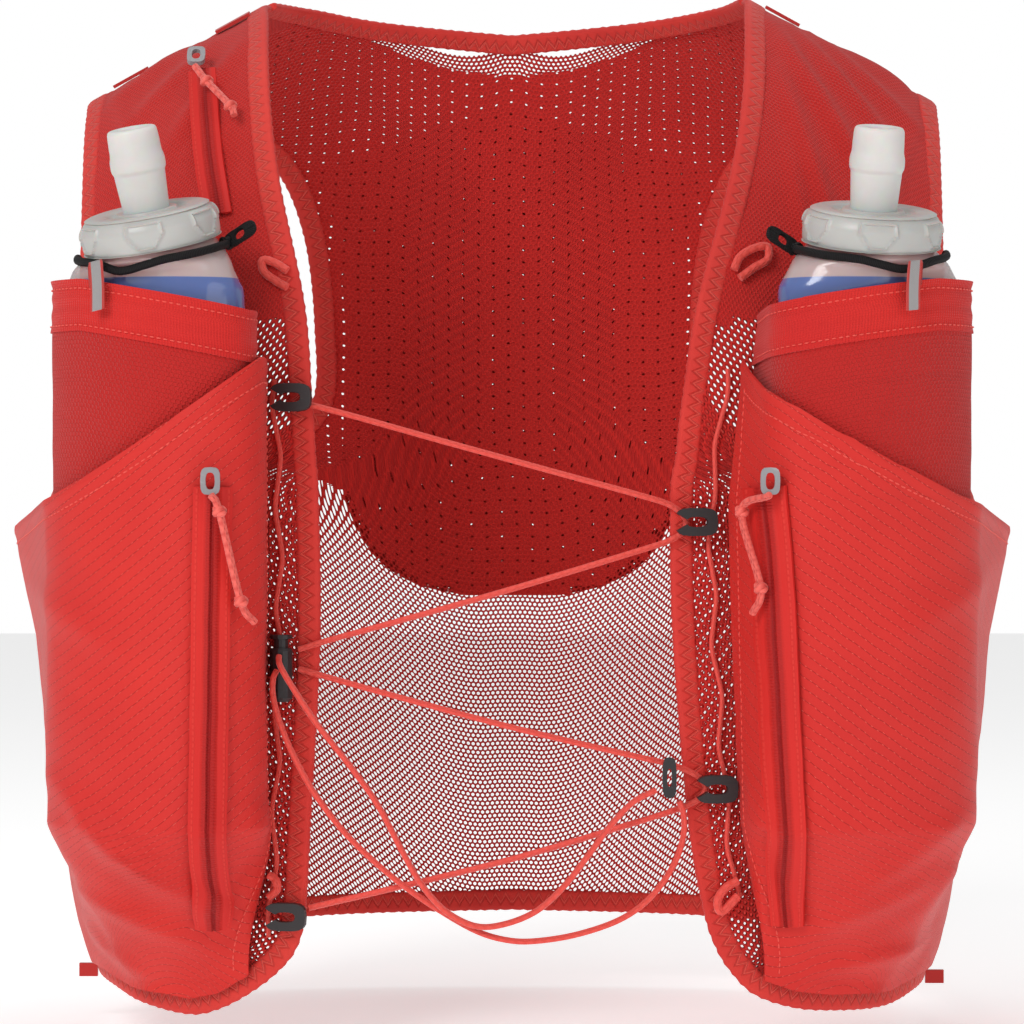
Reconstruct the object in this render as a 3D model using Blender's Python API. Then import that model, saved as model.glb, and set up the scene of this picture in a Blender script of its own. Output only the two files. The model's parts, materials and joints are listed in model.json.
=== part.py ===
# Running hydration vest with two soft flasks, in the shape it has when it is worn.
# Metres, +Z up. The wearer faces -Y, so the wearer's right side is at -X.
# The origin lies midway between the shoulders, at the height of their crown.

from math import asin, copysign, cos, pi, radians, sin, sqrt

import bpy
import bmesh
from mathutils import Matrix, Vector

for old_object in list(bpy.data.objects):
    bpy.data.objects.remove(old_object, do_unlink=True)

# Driving sizes of the vest
CHEST_HALF_WIDTH = 0.177
CHEST_HALF_DEPTH = 0.104
CHEST_DROP = 0.170          # crown of the shoulder down to the chest line
HEM_DROP = 0.372            # crown of the shoulder down to the hem
NECK_HALF_WIDTH = 0.0915    # centre line to the neck edge of a strap, at the crown
ARM_HALF_WIDTH = 0.160      # centre line to the arm edge of a strap, at the crown
SHOULDER_SLOPE = 0.55       # fall of the shoulder towards the arm
SECTION_POWER = 2.6         # roundness of the torso's section: 2 is an ellipse

# Cloth
PANEL_WALL = 0.0014
POCKET_WALL = 0.0012
BACK_POCKET_WALL = 0.0012
BINDING_WIDTH = 0.0080
BINDING_THICKNESS = 0.0030
SEAM_GAP = 0.0003           # between pieces that meet edge to edge
LAYER_GAP = 0.0010          # between cloth layers that lie on each other
BAND_HEIGHT = 0.018
FRONT_POCKET_FALL = 0.060    # how far its top edge falls towards the side
TIP_FLARE = 0.005            # the pocket's outer tip stands off the side

# Flasks
FLASK_LENGTH = 0.204
FLASK_HALF_WIDTH = 0.035
FLASK_HALF_DEPTH = 0.021
FLASK_NECK_DROP = 0.1005     # crown of the shoulder down to the flask's neck
FLASK_STANDOFF = 0.034       # flask neck in front of the chest
FLASK_YAW = radians(22)      # turned to lie flat on the chest
FLASK_LEAN = radians(12.5)   # the neck leans forward
NECK_RADIUS = 0.0215
FLASK_CLEARANCE = 0.0022
CAP_RADIUS = 0.0253
CAP_HEIGHT = 0.0125
VALVE_RADIUS = 0.0097
VALVE_HEIGHT = 0.0285
VALVE_BORE = 0.0042
ELASTIC_DIAMETER = 0.0030

# Zips and trim
ZIP_WIDTH = 0.0125
CHEST_ZIP_WIDTH = 0.0105
ZIP_THICKNESS = 0.0014
SLIDER_WIDTH = 0.0068
SLIDER_HEIGHT = 0.0095
SLIDER_WIRE = 0.0018
PULL_DIAMETER = 0.0026
PULL_KNOT = 0.0052
TAPE_THICKNESS = 0.0012
KEEPER_LENGTH = 0.0125
KEEPER_WIDTH = 0.0060
TAPE_LOOP_WIDTH = 0.0080
TAPE_LOOP_LENGTH = 0.0110
HEM_LOOP_WIDTH = 0.0050
HEM_LOOP_LENGTH = 0.0070

# Cord hardware
LACE_DIAMETER = 0.0022
RAIL_DIAMETER = 0.0018
POLE_CORD_DIAMETER = 0.0030
HOOK_LENGTH = 0.0150
HOOK_WIDTH = 0.0100
HOOK_THICKNESS = 0.0026
HOOK_SLOT = 0.0018
LOCK_RADIUS = 0.0041
LOCK_LENGTH = 0.0190
PLUNGER_RADIUS = 0.0026
PLUNGER_HEAD_RADIUS = 0.0040
PLUNGER_HEAD_HEIGHT = 0.0014
PLUNGER_TRAVEL = 0.0030
PLUNGER_DEPTH = 0.0080       # blind bore in the barrel
CLIP_WIDTH = 0.0050
CLIP_HEIGHT = 0.0145
CLIP_THICKNESS = 0.0028

RIGHT, LEFT = -1, 1          # the wearer's sides, as signs of X
SIDE_NAME = {RIGHT: "right", LEFT: "left"}
CHEST_Z = -CHEST_DROP
SKIRT = HEM_DROP - CHEST_DROP

# Torso sections: drop below the crown / HEM_DROP, half width / CHEST_HALF_WIDTH, half depth / CHEST_HALF_DEPTH
TORSO_SECTIONS = (
    (0.000, 1.000, 1.000), (0.565, 1.000, 1.000), (0.740, 0.966, 0.990),
    (0.806, 0.944, 0.980), (0.887, 0.912, 0.965), (1.020, 0.872, 0.945),
)

# A station runs along the body: -1 front hem, 0 front chest, 1 crown, 2 back at chest height, 3 back hem.
# Front rows: station, right edge / NECK_HALF_WIDTH, left edge / NECK_HALF_WIDTH,
# station at the arm, arm edge / ARM_HALF_WIDTH (None is the side seam)
FRONT_ROWS = (
    (1.160, 0.858, 0.858, 1.160, 0.932), (1.000, 1.011, 0.967, 1.000, 1.000),
    (0.770, 1.000, 0.955, 0.770, 1.003), (0.525, 0.968, 0.923, 0.525, 0.997),
    (0.368, 0.918, 0.860, 0.368, 0.994), (0.180, 0.811, 0.726, 0.180, 0.994),
    (0.053, 0.779, 0.662, 0.060, 1.005), (-0.020, 0.765, 0.638, -0.040, 1.040),
    (-0.099, 0.754, 0.616, -0.149, None), (-0.347, 0.748, 0.627, -0.347, None),
    (-0.668, 0.787, 0.689, -0.600, None), (-0.827, 0.810, 0.752, -0.740, None),
    (-0.891, 0.845, 0.800, -0.820, None), (-0.934, 0.920, 0.860, -0.880, None),
    (-0.974, 1.033, 0.950, None, None),
)
SIDE_ROW = 8                 # the row where the armhole reaches the side
# Front hem, from the corner to the side: right edge and left edge / NECK_HALF_WIDTH, right and left station
HEM_ROWS = (
    (1.158, 1.100, -1.005, -1.000), (1.279, 1.256, -1.018, -1.010),
    (1.482, 1.482, -1.005, -1.013), (1.607, 1.630, -0.984, -0.995), (None, None, -0.972, -0.985),
)
# Back armhole: station, edge / ARM_HALF_WIDTH
BACK_ARM_ROWS = (
    (1.360, 0.750), (1.520, 0.600), (1.660, 0.528), (1.810, 0.503), (1.930, 0.515),
    (1.985, 0.660), (2.015, 0.850), (2.060, 1.020),
)
# Neck edge behind the crown: station, edge / NECK_HALF_WIDTH
NECK_ROWS = ((1.453, 0.0), (1.315, 0.552))
NECK_FADE_STATION = 1.810    # below this the back's rows run straight across
BACK_SKIRT_STATIONS = (2.450, 2.720)
BACK_HEM_RISE = 0.062        # the back hem is higher in the middle, as a share of the skirt
# Back pocket: station, half width / ARM_HALF_WIDTH
BACK_POCKET_ROWS = (
    (1.560, 0.500), (1.660, 0.450), (1.810, 0.425), (1.960, 0.430), (2.080, 0.430),
    (2.200, 0.360), (2.262, 0.255), (2.288, 0.120),
)
# Flask sections: share of its length from the bottom, width / FLASK_HALF_WIDTH, depth / FLASK_HALF_DEPTH
FLASK_SECTIONS = (
    (0.000, 0.50, 0.40), (0.030, 0.80, 0.66), (0.100, 0.95, 0.86), (0.300, 1.00, 1.00),
    (0.600, 1.00, 1.00), (0.850, 1.00, 0.98), (0.925, 0.97, 0.97), (0.960, 0.85, 0.98),
)
FLASK_SIDE_LEAN = {RIGHT: radians(9.5), LEFT: radians(3.0)}
FLASK_BOTTOM_STANDOFF = 1.30     # the flask's lower end in front of the chest / FLASK_HALF_DEPTH
# Inner seam of the pockets: station, right seam and left seam / NECK_HALF_WIDTH
SEAM_ROWS = (
    (-1.00, 0.975, 0.930), (-0.85, 0.970, 0.923), (-0.60, 0.965, 0.885), (-0.40, 0.965, 0.860),
    (-0.25, 0.965, 0.840), (-0.10, 0.965, 0.835), (0.00, 0.965, 0.863), (0.20, 0.965, 0.930),
)


def between(start, end, share):
    return start + (end - start) * share


def look_up(table, key, column):
    """Reads a column of a table between its rows."""
    if key <= table[0][0]:
        return table[0][column]
    for low, high in zip(table, table[1:]):
        if key <= high[0]:
            return between(low[column], high[column], (key - low[0]) / (high[0] - low[0]))
    return table[-1][column]


# The torso that the cloth lies on

def rounded(value):
    return copysign(abs(value) ** (2 / SECTION_POWER), value)


def torso_sizes(z):
    drop = -z / HEM_DROP
    return (CHEST_HALF_WIDTH * look_up(TORSO_SECTIONS, drop, 1),
            CHEST_HALF_DEPTH * look_up(TORSO_SECTIONS, drop, 2))


def shoulder_height(x):
    return -SHOULDER_SLOPE * (abs(x) - NECK_HALF_WIDTH)


def torso_bare(angle, station):
    """angle 0 is the middle of the front or back, 90 degrees the side."""
    if 0 <= station <= 2:
        width, depth = torso_sizes(CHEST_Z)
        x = width * rounded(sin(angle))
        rise = shoulder_height(x) - CHEST_Z
        arch = station * pi / 2
        return Vector((x, -depth * rounded(cos(angle)) * cos(arch), CHEST_Z + rise * sin(arch)))
    down, front = (-station, -1) if station < 0 else (station - 2, 1)
    z = CHEST_Z - down * SKIRT
    width, depth = torso_sizes(z)
    return Vector((width * rounded(sin(angle)), front * depth * rounded(cos(angle)), z))


def torso_normal(angle, station):
    step = 1e-3
    along = torso_bare(angle, station + step) - torso_bare(angle, station - step)
    across = torso_bare(angle + step, station) - torso_bare(angle - step, station)
    normal = across.cross(along).normalized()
    outwards = torso_bare(angle, station) - Vector((0, 0, CHEST_Z))
    return normal if normal.dot(outwards) > 0 else -normal


def torso(angle, station, lift=0.0):
    return torso_bare(angle, station) + torso_normal(angle, station) * lift


def angle_at(x, station):
    z = CHEST_Z - max(-station, station - 2, 0) * SKIRT
    share = min(abs(x) / torso_sizes(z)[0], 1.0)
    return asin(share ** (SECTION_POWER / 2))


def locate(point):
    """The angle and station of a point near the torso, on the side of positive X."""
    x, z = abs(point.x), point.z
    if z < CHEST_Z:
        width, depth = torso_sizes(z)
        down = (CHEST_Z - z) / SKIRT
        station = -down if point.y < 0 else 2 + down
    else:
        width, depth = torso_sizes(CHEST_Z)
        rise = (z - CHEST_Z) / (shoulder_height(x) - CHEST_Z)
        arch = asin(min(rise, 1.0)) * 2 / pi
        station = arch if point.y < 0 else 2 - arch
    share = min(x / width, 1.0) ** (SECTION_POWER / 2)
    return asin(share), station


def front_place(x, z):
    """The angle and station of the front of the torso at a width and a height."""
    return locate(Vector((x, -1.0, z)))


def front(x, z, lift=0.0):
    return torso(*front_place(x, z), lift)


# Making meshes

MATERIALS = {
    "ripstop": ((0.72, 0.035, 0.030), 0.55, 0.0),
    "red_mesh": ((0.62, 0.020, 0.020), 0.80, 0.0),
    "red_binding": ((0.75, 0.045, 0.035), 0.70, 0.0),
    "red_knit": ((0.66, 0.030, 0.025), 0.85, 0.0),
    "red_cord": ((0.85, 0.085, 0.060), 0.60, 0.0),
    "black_elastic": ((0.015, 0.013, 0.014), 0.75, 0.0),
    "black_plastic": ((0.020, 0.018, 0.019), 0.40, 0.0),
    "grey_cap": ((0.52, 0.51, 0.48), 0.35, 0.0),
    "clear_silicone": ((0.70, 0.69, 0.66), 0.30, 0.0),
    "flask_film": ((0.60, 0.30, 0.30), 0.20, 0.0),
    "grey_tape": ((0.60, 0.60, 0.60), 0.70, 0.0),
}


def material(name):
    made = bpy.data.materials.get(name)
    if made is None:
        colour, roughness, metallic = MATERIALS[name]
        made = bpy.data.materials.new(name)
        made.use_nodes = True
        shader = made.node_tree.nodes["Principled BSDF"]
        shader.inputs["Base Color"].default_value = (*colour, 1.0)
        shader.inputs["Roughness"].default_value = roughness
        shader.inputs["Metallic"].default_value = metallic
    return made


def add_solid(name, points, faces, finish, sharp=50):
    """Makes one closed body from corners and faces, with its faces turned outwards."""
    mesh = bpy.data.meshes.new(name)
    mesh.from_pydata([tuple(point) for point in points], [], faces)
    shape = bmesh.new()
    shape.from_mesh(mesh)
    bmesh.ops.recalc_face_normals(shape, faces=shape.faces)
    shape.to_mesh(mesh)
    shape.free()
    mesh.shade_smooth()
    mesh.set_sharp_from_angle(angle=radians(sharp))
    made = bpy.data.objects.new(name, mesh)
    made.data.materials.append(material(finish))
    bpy.context.scene.collection.objects.link(made)
    return made


def add_sheet(name, outer, inner, finish):
    """A cloth wall between two grids of points of the same size."""
    rows, columns = len(outer), len(outer[0])
    points = [point for row in outer for point in row] + [point for row in inner for point in row]
    under = rows * columns

    def corner(row, column, side):
        return side * under + row * columns + column

    faces = []
    for row in range(rows - 1):
        for column in range(columns - 1):
            for side in (0, 1):
                faces.append([corner(row, column, side), corner(row, column + 1, side),
                              corner(row + 1, column + 1, side), corner(row + 1, column, side)])
    rim = [(0, column) for column in range(columns)]
    rim += [(row, columns - 1) for row in range(1, rows)]
    rim += [(rows - 1, column) for column in range(columns - 2, -1, -1)]
    rim += [(row, 0) for row in range(rows - 2, 0, -1)]
    for here, there in zip(rim, rim[1:] + rim[:1]):
        faces.append([corner(*here, 0), corner(*there, 0), corner(*there, 1), corner(*here, 1)])
    return add_solid(name, points, faces, finish)


def add_rings(name, rings, finish, closed=False, sharp=50):
    """Skins rings of corners into one body, with flat ends unless it closes on itself."""
    count = len(rings[0])
    points = [point for ring in rings for point in ring]
    faces = []
    steps = len(rings) if closed else len(rings) - 1
    for step in range(steps):
        low, high = step * count, (step + 1) % len(rings) * count
        for k in range(count):
            after = (k + 1) % count
            faces.append([low + k, low + after, high + after, high + k])
    if not closed:
        faces.append(list(range(count)))
        faces.append([len(points) - count + k for k in range(count)])
    return add_solid(name, points, faces, finish, sharp)


def tangents(path, closed=False):
    last = len(path) - 1
    found = []
    for k in range(len(path)):
        before = path[k - 1] if k > 0 or closed else path[0]
        after = path[(k + 1) % len(path)] if k < last or closed else path[last]
        found.append((after - before).normalized())
    return found


def add_band(name, outer_edge, inner_edge, thickness, finish, closed=False, ends=(None, None)):
    """A flat band with rolled edges between two edges. ends are directions that its end faces share."""
    rings = []
    roll = thickness / 2
    middle = [(outer + inner) / 2 for outer, inner in zip(outer_edge, inner_edge)]
    alongs = tangents(middle, closed)
    alongs[0], alongs[-1] = ends[0] or alongs[0], ends[1] or alongs[-1]
    for point, outer, along in zip(middle, outer_edge, alongs):
        half = outer - point
        up = half.cross(along).normalized()
        flat = half * (1 - roll * 0.6 / half.length)
        ring = []
        for reach, rise in ((half, 0), (flat, 1), (-flat, 1), (-half, 0), (-flat, -1), (flat, -1)):
            ring.append(point + reach + up * rise * roll)
        rings.append(ring)
    return add_rings(name, rings, finish, closed)


def add_turned(name, profile, place, sides, finish, sharp=40):
    """Turns a profile of (radius, height) pairs about Z, then places it. Its ends lie on the axis."""
    points = []
    rings = []
    for radius, height in profile:
        if radius == 0:
            rings.append([len(points)])
            points.append(Vector((0, 0, height)))
        else:
            rings.append([len(points) + k for k in range(sides)])
            points += [Vector((radius * cos(2 * pi * k / sides), radius * sin(2 * pi * k / sides), height))
                       for k in range(sides)]
    faces = []
    for low, high in zip(rings, rings[1:]):
        for k in range(sides):
            after = (k + 1) % sides
            if len(low) == 1:
                faces.append([low[0], high[k], high[after]])
            elif len(high) == 1:
                faces.append([low[k], low[after], high[0]])
            else:
                faces.append([low[k], low[after], high[after], high[k]])
    return add_solid(name, [place @ point for point in points], faces, finish, sharp)


def smooth_route(corners, spacing, closed=False):
    """Points at an even spacing along a smooth curve through the corners."""
    corners = [Vector(corner) for corner in corners]
    count = len(corners)
    dense = []
    for k in range(count if closed else count - 1):
        if closed:
            a, b, c, d = (corners[(k + step) % count] for step in (-1, 0, 1, 2))
        else:
            b, c = corners[k], corners[k + 1]
            a = corners[k - 1] if k > 0 else b * 2 - c
            d = corners[k + 2] if k + 2 < count else c * 2 - b
        for step in range(12):
            t = step / 12
            dense.append(0.5 * (2 * b + (c - a) * t + (2 * a - 5 * b + 4 * c - d) * t * t
                                + (3 * b - a - 3 * c + d) * t ** 3))
    dense.append(corners[0].copy() if closed else corners[-1].copy())
    lengths = [0.0]
    for here, there in zip(dense, dense[1:]):
        lengths.append(lengths[-1] + (there - here).length)
    total = lengths[-1]
    steps = max(4, round(total / spacing))
    route = []
    at = 0
    for k in range(steps if closed else steps + 1):
        wanted = total * k / steps
        while at < len(dense) - 2 and lengths[at + 1] < wanted:
            at += 1
        share = (wanted - lengths[at]) / max(lengths[at + 1] - lengths[at], 1e-9)
        route.append(dense[at].lerp(dense[at + 1], share))
    return route


def add_cord(name, route, diameter, finish, closed=False, radii=None):
    """A round cord as a curve with a bevel. radii are shares of its radius, one for each point."""
    curve = bpy.data.curves.new(name, "CURVE")
    curve.dimensions = "3D"
    curve.bevel_depth = diameter / 2
    curve.bevel_resolution = 2
    curve.use_fill_caps = True
    spline = curve.splines.new("POLY")
    spline.points.add(len(route) - 1)
    for k, (spot, point) in enumerate(zip(spline.points, route)):
        spot.co = (*point, 1.0)
        spot.radius = radii[k] if radii else 1.0
    spline.use_cyclic_u = closed
    made = bpy.data.objects.new(name, curve)
    made.data.materials.append(material(finish))
    bpy.context.scene.collection.objects.link(made)
    return made


# Edges of the vest, on the side of positive X

def edge_point(share, full_width, station):
    angle = pi / 2 if share is None else angle_at(share * full_width, station)
    return torso_bare(angle, station)


def front_edge_path(side):
    """Neck edge from the middle of the back to the crown, front edge down to the hem, hem to the side."""
    right = side == RIGHT
    path = [edge_point(share, NECK_HALF_WIDTH, station) for station, share in NECK_ROWS]
    for station, right_share, left_share, _, _ in FRONT_ROWS:
        path.append(edge_point(right_share if right else left_share, NECK_HALF_WIDTH, station))
    for right_share, left_share, right_station, left_station in HEM_ROWS:
        share, station = (right_share, right_station) if right else (left_share, left_station)
        path.append(edge_point(share, NECK_HALF_WIDTH, station))
    return path


def arm_path():
    """The armhole as a closed loop: up the front from the side, over the crown, down the back."""
    front_part = [edge_point(row[4], ARM_HALF_WIDTH, row[3]) for row in FRONT_ROWS[SIDE_ROW::-1]]
    back_part = [edge_point(share, ARM_HALF_WIDTH, station) for station, share in BACK_ARM_ROWS]
    return front_part + back_part


def back_hem_path():
    """The back hem from the side of positive X to the middle."""
    path = []
    for k in range(5):
        across = 1 - k / 4
        station = 2 - HEM_ROWS[-1][3] - BACK_HEM_RISE * (1 - across ** 1.5)
        path.append(torso_bare(pi / 2 * across, station))
    return path


def inset(path, distance, closed=False, lift=0.0):
    """Moves an edge over the torso into the cloth, and off it by lift. The cloth lies to its left."""
    moved = []
    for point, along in zip(path, tangents(path, closed)):
        across = torso_normal(*locate(point)).cross(along).normalized()
        place = locate(point + across * distance)
        moved.append(torso(*place, lift))
    return moved


def on_side(points, side):
    return [Vector((point.x * side, point.y, point.z)) for point in points]


def grid_on_side(rows, side):
    return [on_side(row, side) for row in rows]


def shortened(path, start, end):
    """Pulls the ends of a path back along it."""
    path = [point.copy() for point in path]
    path[0] += (path[1] - path[0]).normalized() * start
    path[-1] += (path[-2] - path[-1]).normalized() * end
    return path


def seam_shifted(point, amount):
    return Vector((point.x, point.y + amount, point.z))


EDGE_INSET = BINDING_WIDTH + SEAM_GAP
CROWN = 3                    # the crown's place along front_edge_path
CORNER = CROWN + len(FRONT_ROWS) - 2
SHOULDER_SEAM_GAP = 0.0010
HEM_END_GAP = 0.0012         # between the front and back hem bindings at the side


# Panels

def panel_grids(places, shifts):
    """Both faces of a wall on the torso. places are rows of (angle, station), shifts are moves along Y."""
    return [[[seam_shifted(torso(*place, lift), shift) for place, shift in zip(row, shift_row)]
             for row, shift_row in zip(places, shifts)] for lift in (0.0, -PANEL_WALL)]


def front_panel(side):
    edge = [locate(point) for point in inset(front_edge_path(side), EDGE_INSET)]
    arm = [locate(point) for point in inset(arm_path(), EDGE_INSET, closed=True)]
    hem = edge[CORNER:]
    columns = len(hem)
    places = []
    for row, (_, _, _, arm_station, _) in enumerate(FRONT_ROWS[:-1]):
        start = edge[row + CROWN - 1]
        end = arm[SIDE_ROW - row] if row <= SIDE_ROW else (pi / 2, arm_station)
        if row == SIDE_ROW:
            end = (pi / 2, end[1] if end[1] < 0 else 2 - end[1])
        places.append([(between(start[0], end[0], k / (columns - 1)), between(start[1], end[1], k / (columns - 1)))
                       for k in range(columns)])
    places.append(hem[:-1] + [(pi / 2, hem[-1][1] if hem[-1][1] < 0 else 2 - hem[-1][1])])
    shifts = [[-SEAM_GAP / 2 if k == columns - 1 and row >= SIDE_ROW else 0.0 for k in range(columns)]
              for row in range(len(places))]
    grids = [grid_on_side(grid, side) for grid in panel_grids(places, shifts)]
    add_sheet(SIDE_NAME[side] + "_front_panel", *grids, "red_mesh")


def back_half_places(side):
    """Rows of places on one half of the back, each from the middle to the edge."""
    edge = [locate(point) for point in inset(front_edge_path(side), EDGE_INSET)]
    arm = [locate(point) for point in inset(arm_path(), EDGE_INSET, closed=True)]
    hem = [locate(point) for point in inset(back_hem_path(), EDGE_INSET)]
    middle = locate(inset(neck_path(), EDGE_INSET)[CROWN])[1]
    seam = SHOULDER_SEAM_GAP / (CHEST_DROP * pi / 2)
    corner, arm_top = edge[CROWN - 1], arm[SIDE_ROW]
    top = [(0.0, middle), edge[1], corner, tuple(between(a, b, 0.5) for a, b in zip(corner, arm_top)), arm_top]
    top = top[:2] + [(angle, station + seam) for angle, station in top[2:]]
    rows = [top]
    back_arm = arm[SIDE_ROW + 1:]
    side_place = (pi / 2, 2 + abs(arm[0][1] if arm[0][1] < 0 else arm[0][1] - 2))
    ends = back_arm + [side_place] + [(pi / 2, station) for station in BACK_SKIRT_STATIONS]
    for end_angle, end_station in ends:
        row = []
        for k in range(5):
            share = k / 4
            station = end_station
            if end_station < NECK_FADE_STATION + 0.01:
                faded = (end_station - top[4][1]) / (NECK_FADE_STATION - top[4][1])
                station = between(top[k][1], NECK_FADE_STATION, min(faded, 1.0))
            row.append((end_angle * share, station))
        rows.append(row)
    rows.append([(0.0, hem[-1][1])] + [hem[4 - k] for k in range(1, 4)] + [(pi / 2, hem[0][1])])
    return rows


def neck_path():
    """The neck edge from the right crown round the back to the left crown."""
    right, left = (front_edge_path(side)[:CROWN + 1] for side in (RIGHT, LEFT))
    return on_side(right[:0:-1], RIGHT) + left


def back_panel():
    halves = {side: back_half_places(side) for side in (RIGHT, LEFT)}
    places = []
    for right_row, left_row in zip(halves[RIGHT], halves[LEFT]):
        places.append([(-angle, station) for angle, station in right_row[:0:-1]] + left_row)
    first_side_row = len(BACK_ARM_ROWS) + 1
    shifts = [[SEAM_GAP / 2 if row >= first_side_row and k in (0, 8) else 0.0 for k in range(9)]
              for row in range(len(places))]
    add_sheet("back_panel", *panel_grids(places, shifts), "red_mesh")


def back_pocket():
    """Lies on the outside of the back panel, between the armholes."""
    columns = 7
    half = (columns - 1) // 2
    middle_top = locate(inset(neck_path(), EDGE_INSET * 1.25)[CROWN])[1]
    side_top = BACK_POCKET_ROWS[0][0]
    places = []
    for station, share in BACK_POCKET_ROWS:
        edge = angle_at(share * ARM_HALF_WIDTH, station)
        row = []
        for k in range(-half, half + 1):
            dip = 0.0
            if station < NECK_FADE_STATION:
                fade = (NECK_FADE_STATION - station) / (NECK_FADE_STATION - side_top)
                dip = (middle_top - side_top) * fade * (1 - abs(k / half)) if middle_top > side_top else 0.0
            row.append((edge * k / half, station + dip))
        places.append(row)
    outer, inner = ([[torso(*place, lift) for place in row] for row in places]
                    for lift in (LAYER_GAP + BACK_POCKET_WALL, LAYER_GAP))
    add_sheet("back_pocket", outer, inner, "ripstop")


def bindings():
    lift = -PANEL_WALL / 2
    edges = {side: [inset(front_edge_path(side), distance, lift=lift) for distance in (0.0, BINDING_WIDTH)]
             for side in (RIGHT, LEFT)}
    crowns = {side: on_side([(edges[side][0][CROWN + 1] - edges[side][0][CROWN - 1]).normalized()], side)[0]
              for side in (RIGHT, LEFT)}
    for side in (RIGHT, LEFT):
        name = SIDE_NAME[side]
        lines = [on_side(shortened(line[CROWN:], SEAM_GAP, HEM_END_GAP), side) for line in edges[side]]
        add_band(name + "_edge_binding", *lines, BINDING_THICKNESS, "red_binding", ends=(crowns[side], None))
        lines = [on_side(inset(arm_path(), distance, closed=True, lift=lift), side)
                 for distance in (0.0, BINDING_WIDTH)]
        add_band(name + "_armhole_binding", *lines, BINDING_THICKNESS, "red_binding", closed=True)
    lines = []
    for right, left in zip(edges[RIGHT], edges[LEFT]):
        left = left[:CROWN + 1]
        left[0].x = 0.0
        lines.append(shortened(on_side(right[CROWN:0:-1], RIGHT) + left, SEAM_GAP, SEAM_GAP))
    add_band("neck_binding", *lines, BINDING_THICKNESS, "red_binding", ends=(-crowns[RIGHT], crowns[LEFT]))
    lines = []
    for distance in (0.0, BINDING_WIDTH):
        half = inset(back_hem_path(), distance, lift=lift)
        half[-1].x = 0.0
        lines.append(shortened(half + on_side(half[-2::-1], RIGHT), HEM_END_GAP, HEM_END_GAP))
    add_band("back_hem_binding", *lines, BINDING_THICKNESS, "red_binding")


# Flasks and the cloth that wraps round them, on the side of positive X

FLASK_BOTTOM_Z = -FLASK_NECK_DROP - FLASK_LENGTH
FLASK_X = (NECK_HALF_WIDTH + ARM_HALF_WIDTH) / 2
POCKET_COLUMNS = 13
SEAM_LIFT = 0.0004
SEAM_TURN = 0.3              # how far the cloth turns to the chest at its seams
SEAM_ROLL = 0.0044           # the pockets' cloth rolls this far over their inner seam


def seam_x(side, z):
    """Half width of the pockets' inner seam at a height."""
    station = front_place(NECK_HALF_WIDTH, z)[1]
    return NECK_HALF_WIDTH * look_up(SEAM_ROWS, station, 1 if side == RIGHT else 2)


def flask_size(share):
    """Half width and half depth of the flask at a share of its length."""
    last = FLASK_SECTIONS[-1]
    width, depth = (FLASK_HALF_WIDTH * look_up(FLASK_SECTIONS, share, 1),
                    FLASK_HALF_DEPTH * look_up(FLASK_SECTIONS, share, 2))
    if share > last[0]:
        shoulder = (share - last[0]) / (1 - last[0])
        width, depth = between(width, NECK_RADIUS, shoulder), between(depth, NECK_RADIUS, shoulder)
    return width, depth


def flask_centre(side, z):
    share = (z - FLASK_BOTTOM_Z) / FLASK_LENGTH
    bottom_y = front(FLASK_X, FLASK_BOTTOM_Z).y - FLASK_HALF_DEPTH * FLASK_BOTTOM_STANDOFF
    neck_y = front(FLASK_X, CHEST_Z).y - FLASK_STANDOFF
    return Vector((FLASK_X, between(bottom_y, neck_y, max(share, 0.0))))


def neck_frame(side):
    """Places things on the flask's neck, with +Z along it."""
    centre = flask_centre(side, -FLASK_NECK_DROP)
    axis = Vector((sin(FLASK_SIDE_LEAN[side]) * side, -sin(FLASK_LEAN), cos(FLASK_LEAN))).normalized()
    turn = Vector((0, 0, 1)).rotation_difference(axis).to_matrix().to_4x4()
    return Matrix.Translation((centre.x * side, centre.y, -FLASK_NECK_DROP)) @ turn


def yawed(vector, angle):
    return Vector((vector.x * cos(angle) - vector.y * sin(angle), vector.x * sin(angle) + vector.y * cos(angle)))


def ellipse_corner(direction, width, depth):
    """The point of the flask's section that lies furthest in a direction, from its centre."""
    local = yawed(direction, -FLASK_YAW)
    reach = sqrt((width * local.x) ** 2 + (depth * local.y) ** 2)
    return yawed(Vector((width * width * local.x, depth * depth * local.y)) / reach, FLASK_YAW)


def torso_arc(z, start_x, end_angle):
    start_angle = front_place(start_x, z)[0]
    width = torso_sizes(min(z, CHEST_Z))[0]
    arc = []
    for k in range(21):
        angle = between(start_angle, end_angle, k / 20)
        place = front_place(width * rounded(sin(angle)), z)
        point, normal = torso_bare(*place), torso_normal(*place)
        arc.append(point.xy + normal.xy.normalized() * SEAM_LIFT)
    return arc


def facing(here, there):
    """The outward direction of the cloth between two corners of a section."""
    along = (there - here).normalized()
    return Vector((along.y, -along.x))


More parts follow.
